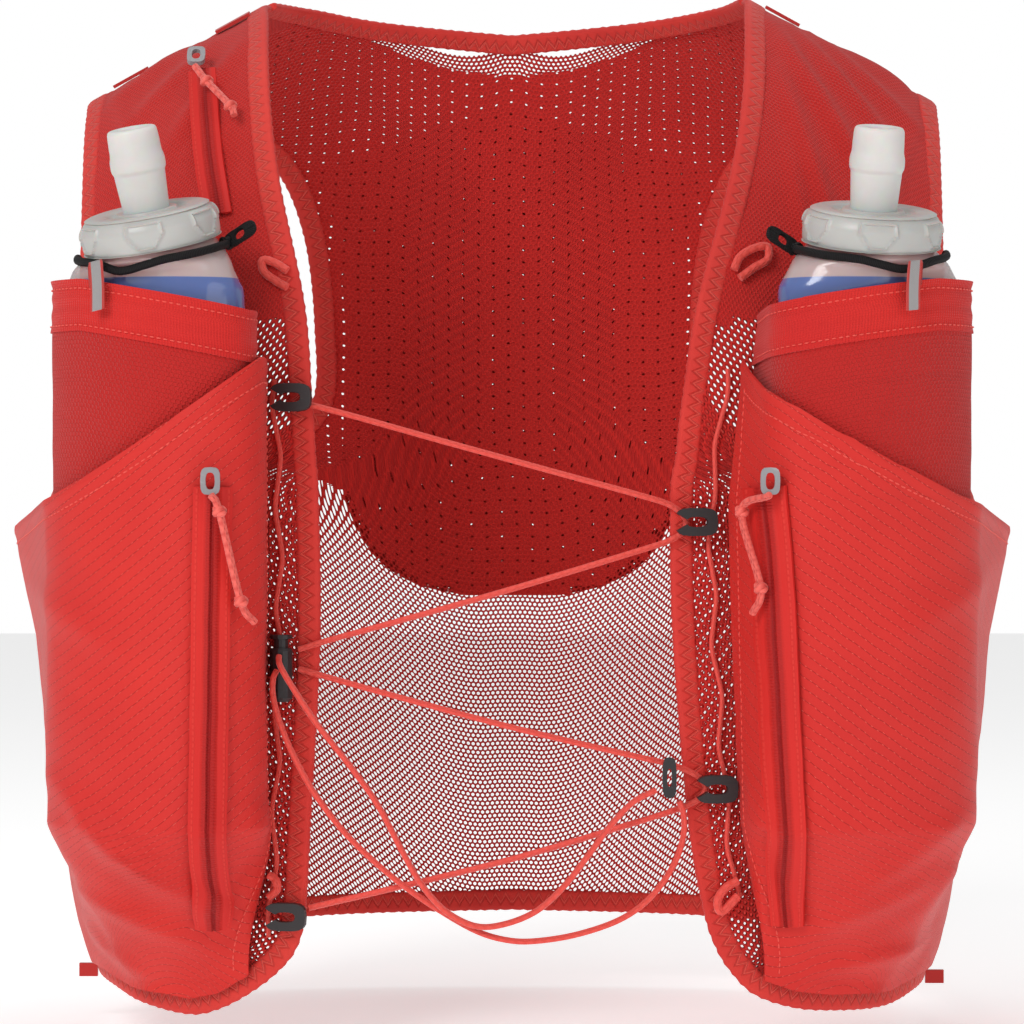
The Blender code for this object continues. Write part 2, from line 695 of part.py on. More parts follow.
def wrapped_section(side, z, seam_inset, end_angle, closing):
    """Cloth pulled tight over the chest and the flask at one height: corners and their directions.

    Below the flask it closes on to the chest over the height named closing.
    """
    arc = torso_arc(z, seam_x(side, z) + SEAM_ROLL + seam_inset, end_angle)
    share = (z - FLASK_BOTTOM_Z) / FLASK_LENGTH
    closed = min(max(-share * FLASK_LENGTH / closing, 0.0), 1.0)
    full = min(max(share, 0.5), 0.9)
    width = FLASK_HALF_WIDTH * look_up(FLASK_SECTIONS, full, 1) * (1 - closed * 0.8)
    depth = FLASK_HALF_DEPTH * look_up(FLASK_SECTIONS, full, 2) * (1 - closed * 0.9)
    centre = flask_centre(side, z).lerp(front(FLASK_X, z).xy, closed)
    dense = []
    for degrees in range(-90, 151, 3):
        direction = Vector((sin(radians(degrees)), -cos(radians(degrees))))
        best = max(range(len(arc)), key=lambda k: arc[k].dot(direction))
        corner = arc[best]
        flask_corner = centre + ellipse_corner(direction, width, depth)
        if flask_corner.dot(direction) > corner.dot(direction):
            corner, best = flask_corner, None
        dense.append((corner, direction, best))
    dense = [(corner, direction) for corner, direction, best in dense if best not in (0, len(arc) - 1)]
    first = facing(arc[0], dense[0][0]).lerp(facing(arc[0], arc[1]), SEAM_TURN).normalized()
    last = facing(dense[-1][0], arc[-1]).lerp(facing(arc[-2], arc[-1]), SEAM_TURN).normalized()
    return [(arc[0], first)] + dense + [(arc[-1], last)]


TURN_WEIGHT = 0.030          # how closely a section's corners gather where it bends, as metres per radian


def spread(section, columns):
    """Picks corners along a section, closer together where it bends."""
    reach = [0.0]
    for (here, out_here), (there, out_there) in zip(section, section[1:]):
        reach.append(reach[-1] + (there - here).length + TURN_WEIGHT * out_here.angle(out_there))
    picked = []
    at = 0
    for k in range(columns):
        wanted = reach[-1] * k / (columns - 1)
        while at < len(section) - 2 and reach[at + 1] < wanted:
            at += 1
        share = (wanted - reach[at]) / (reach[at + 1] - reach[at])
        (here, out_here), (there, out_there) = section[at], section[at + 1]
        picked.append((here.lerp(there, share), out_here.lerp(out_there, share).normalized()))
    return picked


def wrapped_grids(side, limits, rows, wall, lift, heights, flare=0.0):
    """Outer and inner grids of a wrapped cloth. heights(share across, share down) gives each corner's height."""
    reference = spread(wrapped_section(side, CHEST_Z - SKIRT * 0.1, *limits), POCKET_COLUMNS)
    first_x, span = reference[0][0].x, reference[-1][0].x - reference[0][0].x
    outer, inner = [], []
    for row in range(rows):
        outer_row, inner_row = [], []
        for column in range(POCKET_COLUMNS):
            across = min(max((reference[column][0].x - first_x) / span, 0.0), 1.0)
            z = heights(across, row / (rows - 1))
            corner, out = spread(wrapped_section(side, z, *limits), POCKET_COLUMNS)[column]
            tip = flare * max(across - 0.75, 0) * 4 * max(1 - 4 * row / (rows - 1), 0)
            for grid_row, reach in ((outer_row, lift + wall + tip), (inner_row, lift + tip)):
                grid_row.append(Vector((*(corner + out * reach), z)))
        outer.append(outer_row)
        inner.append(inner_row)
    return outer, inner


def opening_edge_x(side, z):
    """Half width of the chest opening at a height."""
    rows = sorted((row[0], row[1], row[2]) for row in FRONT_ROWS)
    station = front_place(NECK_HALF_WIDTH, z)[1]
    return NECK_HALF_WIDTH * look_up(rows, station, 1 if side == RIGHT else 2)


# What a wrapped cloth needs besides its side: how far its inner seam is moved out, the angle of its outer seam,
# the height over which it closes
FLASK_POCKET_LIMITS = (0.0020, angle_at(ARM_HALF_WIDTH - BINDING_WIDTH - FLASK_CLEARANCE * 2, 0.0), 0.030)
FRONT_POCKET_LIMITS = (0.0, pi / 2, 0.060)
POCKET_BOTTOM = 0.010        # the flask pocket closes this far below the flask
BAND_TOP_INNER = -FLASK_NECK_DROP - 0.0235
BAND_TOP_OUTER = -FLASK_NECK_DROP - 0.0125
FRONT_POCKET_LIFT = FLASK_CLEARANCE + POCKET_WALL + LAYER_GAP * 1.4
FRONT_POCKET_TOP = BAND_TOP_INNER - BAND_HEIGHT + 0.0020


def flask_pockets(side):
    name = SIDE_NAME[side]

    def band_heights(across, down):
        return between(BAND_TOP_INNER, BAND_TOP_OUTER, across) - BAND_HEIGHT * down

    def pocket_heights(across, down):
        if down == 1:
            return FLASK_BOTTOM_Z - POCKET_BOTTOM
        return between(band_heights(across, 1.0) - SEAM_GAP, FLASK_BOTTOM_Z, down / (1 - 1 / 5))

    band = wrapped_grids(side, FLASK_POCKET_LIMITS, 3, POCKET_WALL, FLASK_CLEARANCE, band_heights)
    add_sheet(name + "_pocket_band", *(grid_on_side(grid, side) for grid in band), "red_knit")
    pocket = wrapped_grids(side, FLASK_POCKET_LIMITS, 6, POCKET_WALL, FLASK_CLEARANCE, pocket_heights)
    add_sheet(name + "_flask_pocket", *(grid_on_side(grid, side) for grid in pocket), "red_mesh")


def hem_z(side, x):
    """Height of the front hem at a width, from the corner to the side."""
    right = side == RIGHT
    rows = [(FRONT_ROWS[-2][1 if right else 2], FRONT_ROWS[-2][0]), (FRONT_ROWS[-1][1 if right else 2], FRONT_ROWS[-1][0])]
    rows += [(row[0 if right else 1], row[2 if right else 3]) for row in HEM_ROWS[:-1]]
    rows.append((CHEST_HALF_WIDTH / NECK_HALF_WIDTH, HEM_ROWS[-1][2 if right else 3]))
    return CHEST_Z + look_up(rows, x / NECK_HALF_WIDTH, 1) * SKIRT


def front_pocket_grids(side, lift=0.0):
    def heights(across, down):
        x = between(seam_x(side, CHEST_Z), CHEST_HALF_WIDTH, across)
        top = FRONT_POCKET_TOP - FRONT_POCKET_FALL * across
        bottom = hem_z(side, min(x, CHEST_HALF_WIDTH * 0.86)) + EDGE_INSET + LAYER_GAP
        if down <= 2 / 3:
            return between(top, FLASK_BOTTOM_Z, down * 3 / 2)
        return between(FLASK_BOTTOM_Z, bottom, down * 3 - 2)

    return wrapped_grids(side, FRONT_POCKET_LIMITS, 10, POCKET_WALL, FRONT_POCKET_LIFT + lift, heights, TIP_FLARE)


def front_pocket(side):
    grids = front_pocket_grids(side)
    add_sheet(SIDE_NAME[side] + "_front_pocket", *(grid_on_side(grid, side) for grid in grids), "ripstop")


POCKET_FRONTS = {}


def on_front_pocket(side, x, z, lift):
    """A point on the front of the slanted pocket, at a width and a height on the side of positive X."""
    if (side, lift) not in POCKET_FRONTS:
        POCKET_FRONTS[side, lift] = front_pocket_grids(side, lift)[0]
    rows = POCKET_FRONTS[side, lift]
    level = []
    for column in range(POCKET_COLUMNS):
        line = [row[column] for row in rows]
        pair = next(((high, low) for high, low in zip(line, line[1:]) if high.z >= z >= low.z), (line[-2], line[-1]))
        high, low = (line[0], line[1]) if z > line[0].z else pair
        level.append(high.lerp(low, (high.z - z) / (high.z - low.z)))
    for here, there in zip(level, level[1:]):
        if here.x <= x <= there.x:
            return here.lerp(there, (x - here.x) / (there.x - here.x))
    return level[0]


def flask(side):
    name = SIDE_NAME[side]
    rings = []
    for share, width, depth in FLASK_SECTIONS:
        z = FLASK_BOTTOM_Z + FLASK_LENGTH * share
        centre = flask_centre(side, z)
        rings.append([Vector((*(centre + ellipse_corner(Vector((cos(2 * pi * k / 16), sin(2 * pi * k / 16))),
                                                        FLASK_HALF_WIDTH * width, FLASK_HALF_DEPTH * depth)), z))
                      for k in range(16)])
    rings = grid_on_side(rings, side)
    frame = neck_frame(side)
    rings.append([frame @ Vector((cos(2 * pi * k / 16) * NECK_RADIUS * side, sin(2 * pi * k / 16) * NECK_RADIUS, 0))
                  for k in range(16)])
    add_rings(name + "_flask", rings, "flask_film")

    base = SEAM_GAP
    cap = ((0, base), (CAP_RADIUS - 0.0015, base), (CAP_RADIUS, base + 0.0020),
           (CAP_RADIUS, base + CAP_HEIGHT - 0.0040), (CAP_RADIUS - 0.0030, base + CAP_HEIGHT - 0.0008),
           (CAP_RADIUS - 0.0045, base + CAP_HEIGHT), (0, base + CAP_HEIGHT))
    add_turned(name + "_flask_cap", cap, frame, 20, "grey_cap")
    seat = base + CAP_HEIGHT + SEAM_GAP
    valve = ((0, seat), (VALVE_RADIUS * 0.80, seat), (VALVE_RADIUS * 0.90, seat + VALVE_HEIGHT * 0.14),
             (VALVE_RADIUS, seat + VALVE_HEIGHT * 0.32), (VALVE_RADIUS, seat + VALVE_HEIGHT * 0.58),
             (VALVE_RADIUS * 0.93, seat + VALVE_HEIGHT * 0.76), (VALVE_RADIUS * 0.95, seat + VALVE_HEIGHT * 0.92),
             (VALVE_RADIUS * 0.86, seat + VALVE_HEIGHT), (VALVE_BORE, seat + VALVE_HEIGHT),
             (VALVE_BORE * 0.9, seat + VALVE_HEIGHT * 0.7), (0, seat + VALVE_HEIGHT * 0.68))
    add_turned(name + "_bite_valve", valve, frame, 14, "clear_silicone")


ELASTIC_DROP = 0.0052        # from the neck's rim down the flask's shoulder


def shoulder_spot(side, direction, drop, off):
    """A point off the flask's shoulder, in a direction from its middle and a drop below the neck's rim."""
    share = FLASK_SECTIONS[-1][0]
    low_z = FLASK_BOTTOM_Z + FLASK_LENGTH * share
    width, depth = flask_size(share)
    low = Vector((*(flask_centre(side, low_z) + ellipse_corner(direction, width, depth)), low_z))
    rim = neck_frame(side) @ Vector((direction.x * NECK_RADIUS * side, direction.y * NECK_RADIUS, 0))
    rim.x *= side
    slope = (rim - low).normalized()
    spot = rim - slope * drop
    if spot.z < low_z:
        down = low_z - spot.z
        width, depth = flask_size(share - down / FLASK_LENGTH)
        spot = Vector((*(flask_centre(side, spot.z) + ellipse_corner(direction, width, depth)), spot.z))
        slope = Vector((0, 0, 1))
    out = Vector((*direction, 0))
    out = (out - slope * out.dot(slope)).normalized()
    spot += out * off
    return Vector((spot.x * side, spot.y, spot.z))


def flask_retainer(side):
    """Elastic that runs round the front of the flask's neck, from a tab to the top of the pocket."""
    off = ELASTIC_DIAMETER * 0.5 + FLASK_CLEARANCE * 0.6
    corners = [shoulder_spot(side, Vector((cos(radians(degrees)), sin(radians(degrees)))), ELASTIC_DROP, off)
               for degrees in (-178, -155, -132, -109, -86, -63, -40, -17, -2)]
    tab = corners[0] + Vector((-0.010 * side, -0.002, 0.004))
    route = smooth_route([tab] + corners, ELASTIC_DIAMETER * 2.2)
    radii = [1.45 if k < 2 else 1.0 for k in range(len(route))]
    add_cord(SIDE_NAME[side] + "_flask_retainer", route, ELASTIC_DIAMETER, "black_elastic", radii=radii)


def tape_loop(side):
    """A folded tape that stands up from the outer end of the pocket's band."""
    x = between(FLASK_X, ARM_HALF_WIDTH, 0.50 if side == RIGHT else 0.36)
    grids = []
    top = between(BAND_TOP_INNER, BAND_TOP_OUTER, 0.8)
    base_lift = FLASK_CLEARANCE + POCKET_WALL + SEAM_GAP
    for lift in (base_lift + TAPE_THICKNESS * 2, base_lift):
        rows = []
        for rise in (-0.85, -0.35, 0.15):
            row = []
            for across in (-0.5, 0.0, 0.5):
                section = wrapped_section(side, top, *FLASK_POCKET_LIMITS)
                corners = [corner + out * lift for corner, out in section]
                wanted = x + across * TAPE_LOOP_WIDTH
                for here, there in zip(corners, corners[1:]):
                    if here.x <= wanted <= there.x:
                        spot = here.lerp(there, (wanted - here.x) / (there.x - here.x))
                        row.append(Vector((*spot, top + rise * TAPE_LOOP_LENGTH)))
                        break
            rows.append(row)
        grids.append(grid_on_side(rows, side))
    add_sheet(SIDE_NAME[side] + "_tape_loop", *grids, "grey_tape")


# Zips, keepers and loops

# Zip routes: half width from the centre line and drop, as shares of ARM_HALF_WIDTH and HEM_DROP, top to bottom
ZIP_ROUTES = {
    RIGHT: ((0.646, 0.498), (0.652, 0.60), (0.657, 0.72), (0.662, 0.83), (0.664, 0.915)),
    LEFT: ((0.556, 0.498), (0.575, 0.60), (0.588, 0.72), (0.602, 0.83), (0.612, 0.915)),
}
CHEST_ZIP_ROUTE = ((0.712, 0.085), (0.700, 0.130), (0.684, 0.180), (0.660, 0.235))
ZIP_LIFT = 0.0024


def zip_path(route, levels):
    """Places (x, z) down a zip: its ends, and the levels between them."""
    rows = [(drop * HEM_DROP, share * ARM_HALF_WIDTH) for share, drop in route]
    top, bottom = -rows[0][0], -rows[-1][0]
    heights = [top] + [z for z in levels if bottom + ZIP_WIDTH / 3 < z < top - ZIP_WIDTH / 3] + [bottom]
    return [(look_up(rows, -z, 1), z) for z in heights]


def pocket_levels(side, x):
    """Heights of the slanted pocket's rows at a width."""
    levels = []
    for row in front_pocket_grids(side)[0]:
        for here, there in zip(row, row[1:]):
            if here.x <= x <= there.x:
                levels.append(between(here.z, there.z, (x - here.x) / (there.x - here.x)))
                break
    return levels


def zip_strip(name, side, path, width, surface):
    grids = []
    for lift in (ZIP_LIFT + ZIP_THICKNESS, ZIP_LIFT):
        grids.append(grid_on_side([[surface(x + across * width, z, lift) for across in (-0.5, 0, 0.5)]
                                   for x, z in path], side))
    add_sheet(name, *grids, "red_knit")


def loop_plate(name, size, hole, thickness, centre, right_way, up_way, finish, gap=0.0, steps=16):
    """A flat plate with a hole through it. gap opens it at one end, as an angle, and makes a hook.

    size and hole are (length, width), right_way points along the length.
    """
    facing = right_way.cross(up_way).normalized()
    up = facing.cross(right_way).normalized()
    right = right_way.normalized()
    rings = []
    start, stop = gap / 2, 2 * pi - gap / 2
    count = steps if gap == 0 else steps + 1
    for k in range(count):
        angle = between(start, stop, k / steps)
        spots = []
        for (length, width), power in ((size, 0.55), (hole, 0.75)):
            spots.append(right * copysign(abs(cos(angle)) ** power, cos(angle)) * length / 2
                         + up * copysign(abs(sin(angle)) ** power, sin(angle)) * width / 2)
        outer, inner = spots
        half = facing * thickness / 2
        rings.append([centre + outer + half, centre + outer - half, centre + inner - half, centre + inner + half])
    add_rings(name, rings, finish, closed=gap == 0, sharp=35)


def zips():
    for side in (RIGHT, LEFT):
        name = SIDE_NAME[side]
        path = zip_path(ZIP_ROUTES[side], pocket_levels(side, ZIP_ROUTES[side][2][0] * ARM_HALF_WIDTH))

        def surface(x, z, lift, side=side):
            return on_front_pocket(side, x, z, lift)

        zip_strip(name + "_zip", side, path, ZIP_WIDTH, surface)
        top = path[0]
        lift = ZIP_LIFT + ZIP_THICKNESS + SEAM_GAP * 2 + SLIDER_WIRE / 2
        slider(name + "_zip_slider", name + "_zip_pull", side, top, surface, lift, PULL_ENDS[side])
    top, bottom = (-CHEST_ZIP_ROUTE[k][1] * HEM_DROP for k in (0, -1))
    path = zip_path(CHEST_ZIP_ROUTE, [between(top, bottom, k / 5) for k in range(1, 5)])
    zip_strip("chest_zip", RIGHT, path, CHEST_ZIP_WIDTH, front)
    slider("chest_zip_slider", "chest_zip_pull", RIGHT, path[0], front, lift, CHEST_PULL_ENDS)


# Zip pulls: moves from the slider's centre to the pull's knots and end, as (towards the side, down)
PULL_ENDS = {
    RIGHT: ((-0.0030, 0.0085), (-0.0100, 0.0395), (-0.0145, 0.0470)),
    LEFT: ((-0.0090, 0.0085), (-0.0030, 0.0350), (-0.0055, 0.0440)),
}
SLIDER_STANDOFF = 0.0016
CHEST_PULL_ENDS = ((-0.0045, 0.0080), (-0.0135, 0.0175), (-0.0150, 0.0210))


def slider(name, pull_name, side, top, surface, lift, ends):
    """A ring slider at a zip's top end, and the knotted cord that hangs from it."""
    x, z = top
    z += SLIDER_HEIGHT * 0.2
    centre = surface(x, z, lift + SLIDER_STANDOFF)
    down = (surface(x, z - SLIDER_HEIGHT / 2, lift + SLIDER_STANDOFF) - centre).normalized()
    across = Vector((1, 0, 0))
    turn = Vector((side, 1, 1))
    centre, down = centre * turn, down * turn
    loop_plate(name, (SLIDER_HEIGHT, SLIDER_WIDTH), (SLIDER_HEIGHT - SLIDER_WIRE * 2, SLIDER_WIDTH - SLIDER_WIRE * 2),
               SLIDER_WIRE, centre, down, across, "black_plastic")
    corners = [surface(x + aside, z - drop, lift + PULL_KNOT / 2) * turn for aside, drop in ends]
    route = smooth_route(corners, PULL_DIAMETER * 1.5)
    knot_at = (corners[1] - corners[0]).length
    radii = []
    for point in route:
        nearest = min((point - corners[0]).length, (point - corners[1]).length)
        radii.append(between(PULL_KNOT / PULL_DIAMETER, 1.0, min(nearest / (PULL_DIAMETER * 1.4), 1.0)))
    add_cord(pull_name, route, PULL_DIAMETER, "red_cord", radii=radii)


# Shoulder keepers: side, name, half width / ARM_HALF_WIDTH, station
KEEPERS = ((RIGHT, "inner", 0.656, 0.88), (RIGHT, "outer", 0.905, 0.95),
           (LEFT, "inner", 0.640, 0.95), (LEFT, "outer", 0.860, 0.98))


def shoulder_keepers():
    for side, which, share, station in KEEPERS:
        angle = angle_at(share * ARM_HALF_WIDTH, station)
        half_angle = angle_at(share * ARM_HALF_WIDTH + KEEPER_LENGTH / 2, station) - angle
        half_station = KEEPER_WIDTH / 2 / (CHEST_DROP * pi / 2)
        grids = [grid_on_side([[torso(angle + half_angle * a, station + half_station * s, lift) for a in (-1, 0, 1)]
                               for s in (-1, 0, 1)], side)
                 for lift in (SEAM_GAP * 2 + TAPE_THICKNESS, SEAM_GAP * 2)]
        add_sheet(SIDE_NAME[side] + "_shoulder_keeper_" + which, *grids, "red_binding")


def hem_loops():
    """A folded tape at each side of the hem, standing out from the side seam."""
    for side in (RIGHT, LEFT):
        base = torso_bare(pi / 2, HEM_ROWS[-1][2 if side == RIGHT else 3])
        reach = BINDING_THICKNESS / 2 + SEAM_GAP * 2
        grids = []
        for shift in (TAPE_THICKNESS, -TAPE_THICKNESS):
            grids.append([[Vector(((base.x + reach + out) * side, base.y + shift, base.z + rise))
                           for rise in (-HEM_LOOP_WIDTH, 0.0)] for out in (0.0, HEM_LOOP_LENGTH)])
        add_sheet(SIDE_NAME[side] + "_hem_loop", *grids, "red_binding")


# Cord loops beside the pockets. Corners: half width / NECK_HALF_WIDTH, drop / HEM_DROP, lift off the chest
POLE_LOOPS = {
    (RIGHT, "upper"): ((0.872, 0.291, 2.0), (0.925, 0.283, 2.2), (0.968, 0.281, 2.6), (0.962, 0.292, 2.4),
                       (0.915, 0.301, 2.0), (0.872, 0.307, 2.0)),
    (LEFT, "upper"): ((0.862, 0.290, 2.0), (0.885, 0.278, 2.2), (0.935, 0.270, 2.6), (0.990, 0.268, 2.8),
                      (0.992, 0.280, 2.6), (0.940, 0.288, 2.2), (0.885, 0.298, 2.0)),
    (RIGHT, "lower"): ((0.935, 0.868, 4.6), (0.910, 0.872, 4.6), (0.903, 0.882, 4.6), (0.935, 0.890, 4.6)),
    (LEFT, "lower"): ((0.868, 0.873, 4.6), (0.820, 0.880, 4.6), (0.790, 0.892, 4.6), (0.805, 0.903, 4.6),
                      (0.868, 0.888, 4.6)),
}


def pole_loops():
    for (side, which), corners in POLE_LOOPS.items():
        points = [front(share * NECK_HALF_WIDTH, -drop * HEM_DROP, lift * 0.001) for share, drop, lift in corners]
        route = smooth_route(on_side(points, side), POLE_CORD_DIAMETER * 1.1)
        add_cord(SIDE_NAME[side] + "_pole_loop_" + which, route, POLE_CORD_DIAMETER, "red_cord")


# Lacing hardware. Places: half width / NECK_HALF_WIDTH, drop / HEM_DROP of each hook's middle
HOOKS = {
    "hook_upper_right": (RIGHT, 0.848, 0.4130),
    "hook_upper_left": (LEFT, 0.707, 0.5310),
    "hook_lower_left": (LEFT, 0.785, 0.7850),
    "hook_lower_right": (RIGHT, 0.868, 0.9080),
}
RAIL_LIFT = RAIL_DIAMETER / 2 + SEAM_GAP
LACE_LIFT = 0.0008 + SEAM_GAP + LACE_DIAMETER / 2
HOOK_LIFT = 0.0008 + SEAM_GAP * 3 + LACE_DIAMETER + HOOK_THICKNESS / 2
HOOK_GAP = radians(46)


def hooks():
    for name, (side, share, drop) in HOOKS.items():
        x, z = share * NECK_HALF_WIDTH, -drop * HEM_DROP
        centre = front(x, z, HOOK_LIFT)
        beside = front(x + 0.001, z, HOOK_LIFT)
        turn = Vector((side, 1, 1))
        mouth = (centre - beside) * side * turn          # the hook's mouth points to the wearer's right
        above = (front(x, z + 0.001, HOOK_LIFT) - centre) * turn
        loop_plate(name, (HOOK_LENGTH, HOOK_WIDTH), (HOOK_LENGTH - 0.0075, HOOK_SLOT * 2), HOOK_THICKNESS,
                   centre * turn, mouth, above, "black_plastic", gap=HOOK_GAP)


# The cord lock stands beside the right front edge
LOCK_X = 0.0805
LOCK_BOTTOM_DROP = 0.2612


def lock_frame():
    z = -LOCK_BOTTOM_DROP
    lift = RAIL_DIAMETER + SEAM_GAP * 3 + LOCK_RADIUS
    foot, head = front(LOCK_X, z, lift), front(LOCK_X, z + LOCK_LENGTH, lift)
    return Matrix.Translation((-foot.x, min(foot.y, head.y), z))


def cord_lock():
    frame = lock_frame()
    bore = PLUNGER_RADIUS + SEAM_GAP
    floor = LOCK_LENGTH - PLUNGER_DEPTH
    barrel = ((0, 0), (LOCK_RADIUS * 0.7, 0), (LOCK_RADIUS, 0.0015), (LOCK_RADIUS, LOCK_LENGTH - 0.0010),
              (LOCK_RADIUS * 0.9, LOCK_LENGTH), (bore, LOCK_LENGTH), (bore, floor), (0, floor))
    add_turned("cord_lock_barrel", barrel, frame, 14, "black_plastic")
    under = LOCK_LENGTH + PLUNGER_TRAVEL + SEAM_GAP
    plunger = ((0, floor + PLUNGER_TRAVEL + SEAM_GAP), (PLUNGER_RADIUS, floor + PLUNGER_TRAVEL + SEAM_GAP),
               (PLUNGER_RADIUS, under), (PLUNGER_HEAD_RADIUS, under),
               (PLUNGER_HEAD_RADIUS, under + PLUNGER_HEAD_HEIGHT), (0, under + PLUNGER_HEAD_HEIGHT))
    add_turned("cord_lock_plunger", plunger, frame, 14, "black_plastic")


# Cord routes, chosen by hand, in metres
UPPER_LACE_ROUTE = (
    (-0.0745, -0.1006, -0.1552), (-0.0690, -0.1022, -0.1566), (-0.0520, -0.1048, -0.1612),
    (-0.0200, -0.1068, -0.1702), (0.0200, -0.1072, -0.1812), (0.0450, -0.1060, -0.1880),
    (0.0560, -0.1040, -0.1915), (0.0612, -0.1030, -0.1960), (0.0612, -0.1030, -0.2000),
    (0.0560, -0.1040, -0.2040), (0.0400, -0.1064, -0.2092), (0.0000, -0.1075, -0.2212),
    (-0.0400, -0.1070, -0.2325), (-0.0640, -0.1062, -0.2392), (-0.0758, -0.1056, -0.2428),
)
LOWER_LACE_ROUTE = (
    (-0.0758, -0.1056, -0.2497), (-0.0640, -0.1060, -0.2530), (-0.0400, -0.1062, -0.2595),
    (0.0000, -0.1060, -0.2702), (0.0400, -0.1042, -0.2797), (0.0550, -0.1030, -0.2832),
    (0.0640, -0.1012, -0.2866), (0.0685, -0.1004, -0.2905), (0.0680, -0.1004, -0.2945),
    (0.0620, -0.1016, -0.2982), (0.0450, -0.1042, -0.3036), (0.0000, -0.1056, -0.3168),
    (-0.0450, -0.1040, -0.3280), (-0.0660, -0.0996, -0.3334), (-0.0722, -0.0980, -0.3350),
)
DRAW_FRONT_ROUTE = (
    (-0.0822, -0.1102, -0.2449), (-0.0818, -0.1128, -0.2476), (-0.0785, -0.1142, -0.2535),
    (-0.0690, -0.1142, -0.2680), (-0.0567, -0.1136, -0.2837), (-0.0472, -0.1132, -0.2972),
    (-0.0380, -0.1128, -0.3146), (-0.0317, -0.1126, -0.3253), (-0.0236, -0.1122, -0.3344),
    (-0.0130, -0.1120, -0.3398), (-0.0028, -0.1120, -0.3392), (0.0085, -0.1120, -0.3346),
    (0.0180, -0.1120, -0.3262), (0.0261, -0.1118, -0.3160), (0.0345, -0.1114, -0.3048),
    (0.0426, -0.1104, -0.2964), (0.0508, -0.1086, -0.2922),
)
DRAW_BACK_ROUTE = (
    (-0.0830, -0.1102, -0.2500), (-0.0842, -0.1120, -0.2530), (-0.0840, -0.1120, -0.2600),
    (-0.0805, -0.1116, -0.2718), (-0.0750, -0.1110, -0.2838), (-0.0690, -0.1104, -0.2942),
    (-0.0595, -0.1096, -0.3066), (-0.0493, -0.1090, -0.3168), (-0.0380, -0.1086, -0.3262),
    (-0.0257, -0.1084, -0.3346), (-0.0130, -0.1084, -0.3418), (-0.0028, -0.1084, -0.3450),
    (0.0074, -0.1084, -0.3456), (0.0229, -0.1084, -0.3432), (0.0384, -0.1084, -0.3378),
    (0.0490, -0.1082, -0.3300), (0.0570, -0.1074, -0.3190), (0.0606, -0.1066, -0.3086),
    (0.0606, -0.1066, -0.3006), (0.0590, -0.1070, -0.2962),
)
CLIP_PLACE = (0.0556, -0.1092, -0.2878)
RAIL_WAVE = 0.0012           # sideways wave of the rail cords
RAIL_PITCH = 0.036
RAIL_DROPS = {RIGHT: (0.395, 0.930), LEFT: (0.385, 0.890)}


def rail_cords():
    """A thin cord that weaves down the strip between the front binding and the pockets."""
    for side in (RIGHT, LEFT):
        first, last = (drop * HEM_DROP for drop in RAIL_DROPS[side])
        count = round((last - first) / (RAIL_PITCH / 4))
        corners = []
        for k in range(count + 1):
            drop = between(first, last, k / count)
            strip_start = opening_edge_x(side, -drop) + EDGE_INSET
            x = (strip_start + seam_x(side, -drop)) / 2 + RAIL_WAVE * sin(k * pi / 2)
            corners.append(front(x, -drop, RAIL_LIFT))
        add_cord(SIDE_NAME[side] + "_rail_cord", smooth_route(on_side(corners, side), RAIL_PITCH / 4),
                 RAIL_DIAMETER, "red_cord")


LACE_LANDING = 0.055         # beyond this half width a lace lies on the cloth


def on_the_chest(route):
    """Lays the ends and turns of a taut lace on the cloth, and keeps the rest of it clear of the chest."""
    laid = []
    for x, y, z in route:
        cloth = front(abs(x), z, LACE_LIFT).y
        laid.append(Vector((x, cloth if abs(x) > LACE_LANDING else min(y, cloth), z)))
    return laid


def lacing():
    for name, route in (("upper_lace", UPPER_LACE_ROUTE), ("lower_lace", LOWER_LACE_ROUTE)):
        route = on_the_chest(smooth_route(on_the_chest(route), LACE_DIAMETER * 3.5))
        add_cord(name, route, LACE_DIAMETER, "red_cord")
    add_cord("draw_cord_front", smooth_route(DRAW_FRONT_ROUTE, LACE_DIAMETER * 3.2), LACE_DIAMETER, "red_cord")
    add_cord("draw_cord_back", smooth_route(DRAW_BACK_ROUTE, LACE_DIAMETER * 3.2), LACE_DIAMETER, "red_cord")
    loop_plate("cord_clip", (CLIP_HEIGHT, CLIP_WIDTH), (CLIP_HEIGHT * 0.45, CLIP_WIDTH * 0.35), CLIP_THICKNESS,
               Vector(CLIP_PLACE), Vector((0, 0, -1)), Vector((1, 0, 0)), "black_plastic", steps=12)


for body_side in (RIGHT, LEFT):
    front_panel(body_side)
    flask_pockets(body_side)
    front_pocket(body_side)
    flask(body_side)
    flask_retainer(body_side)
    tape_loop(body_side)
back_panel()
back_pocket()
bindings()
zips()
shoulder_keepers()
hem_loops()
pole_loops()
hooks()
cord_lock()
rail_cords()
lacing()
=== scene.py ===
# The looks of the running hydration vest: its cloth, cords, flasks and hardware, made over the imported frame.
# Metres, +Z up, the wearer faces -Y. Shapes are worked out for the side of positive X and mirrored.

import json
from math import cos, pi, radians, sin, sqrt

import bmesh
import bpy
import numpy as np
from mathutils import Matrix, Vector, noise


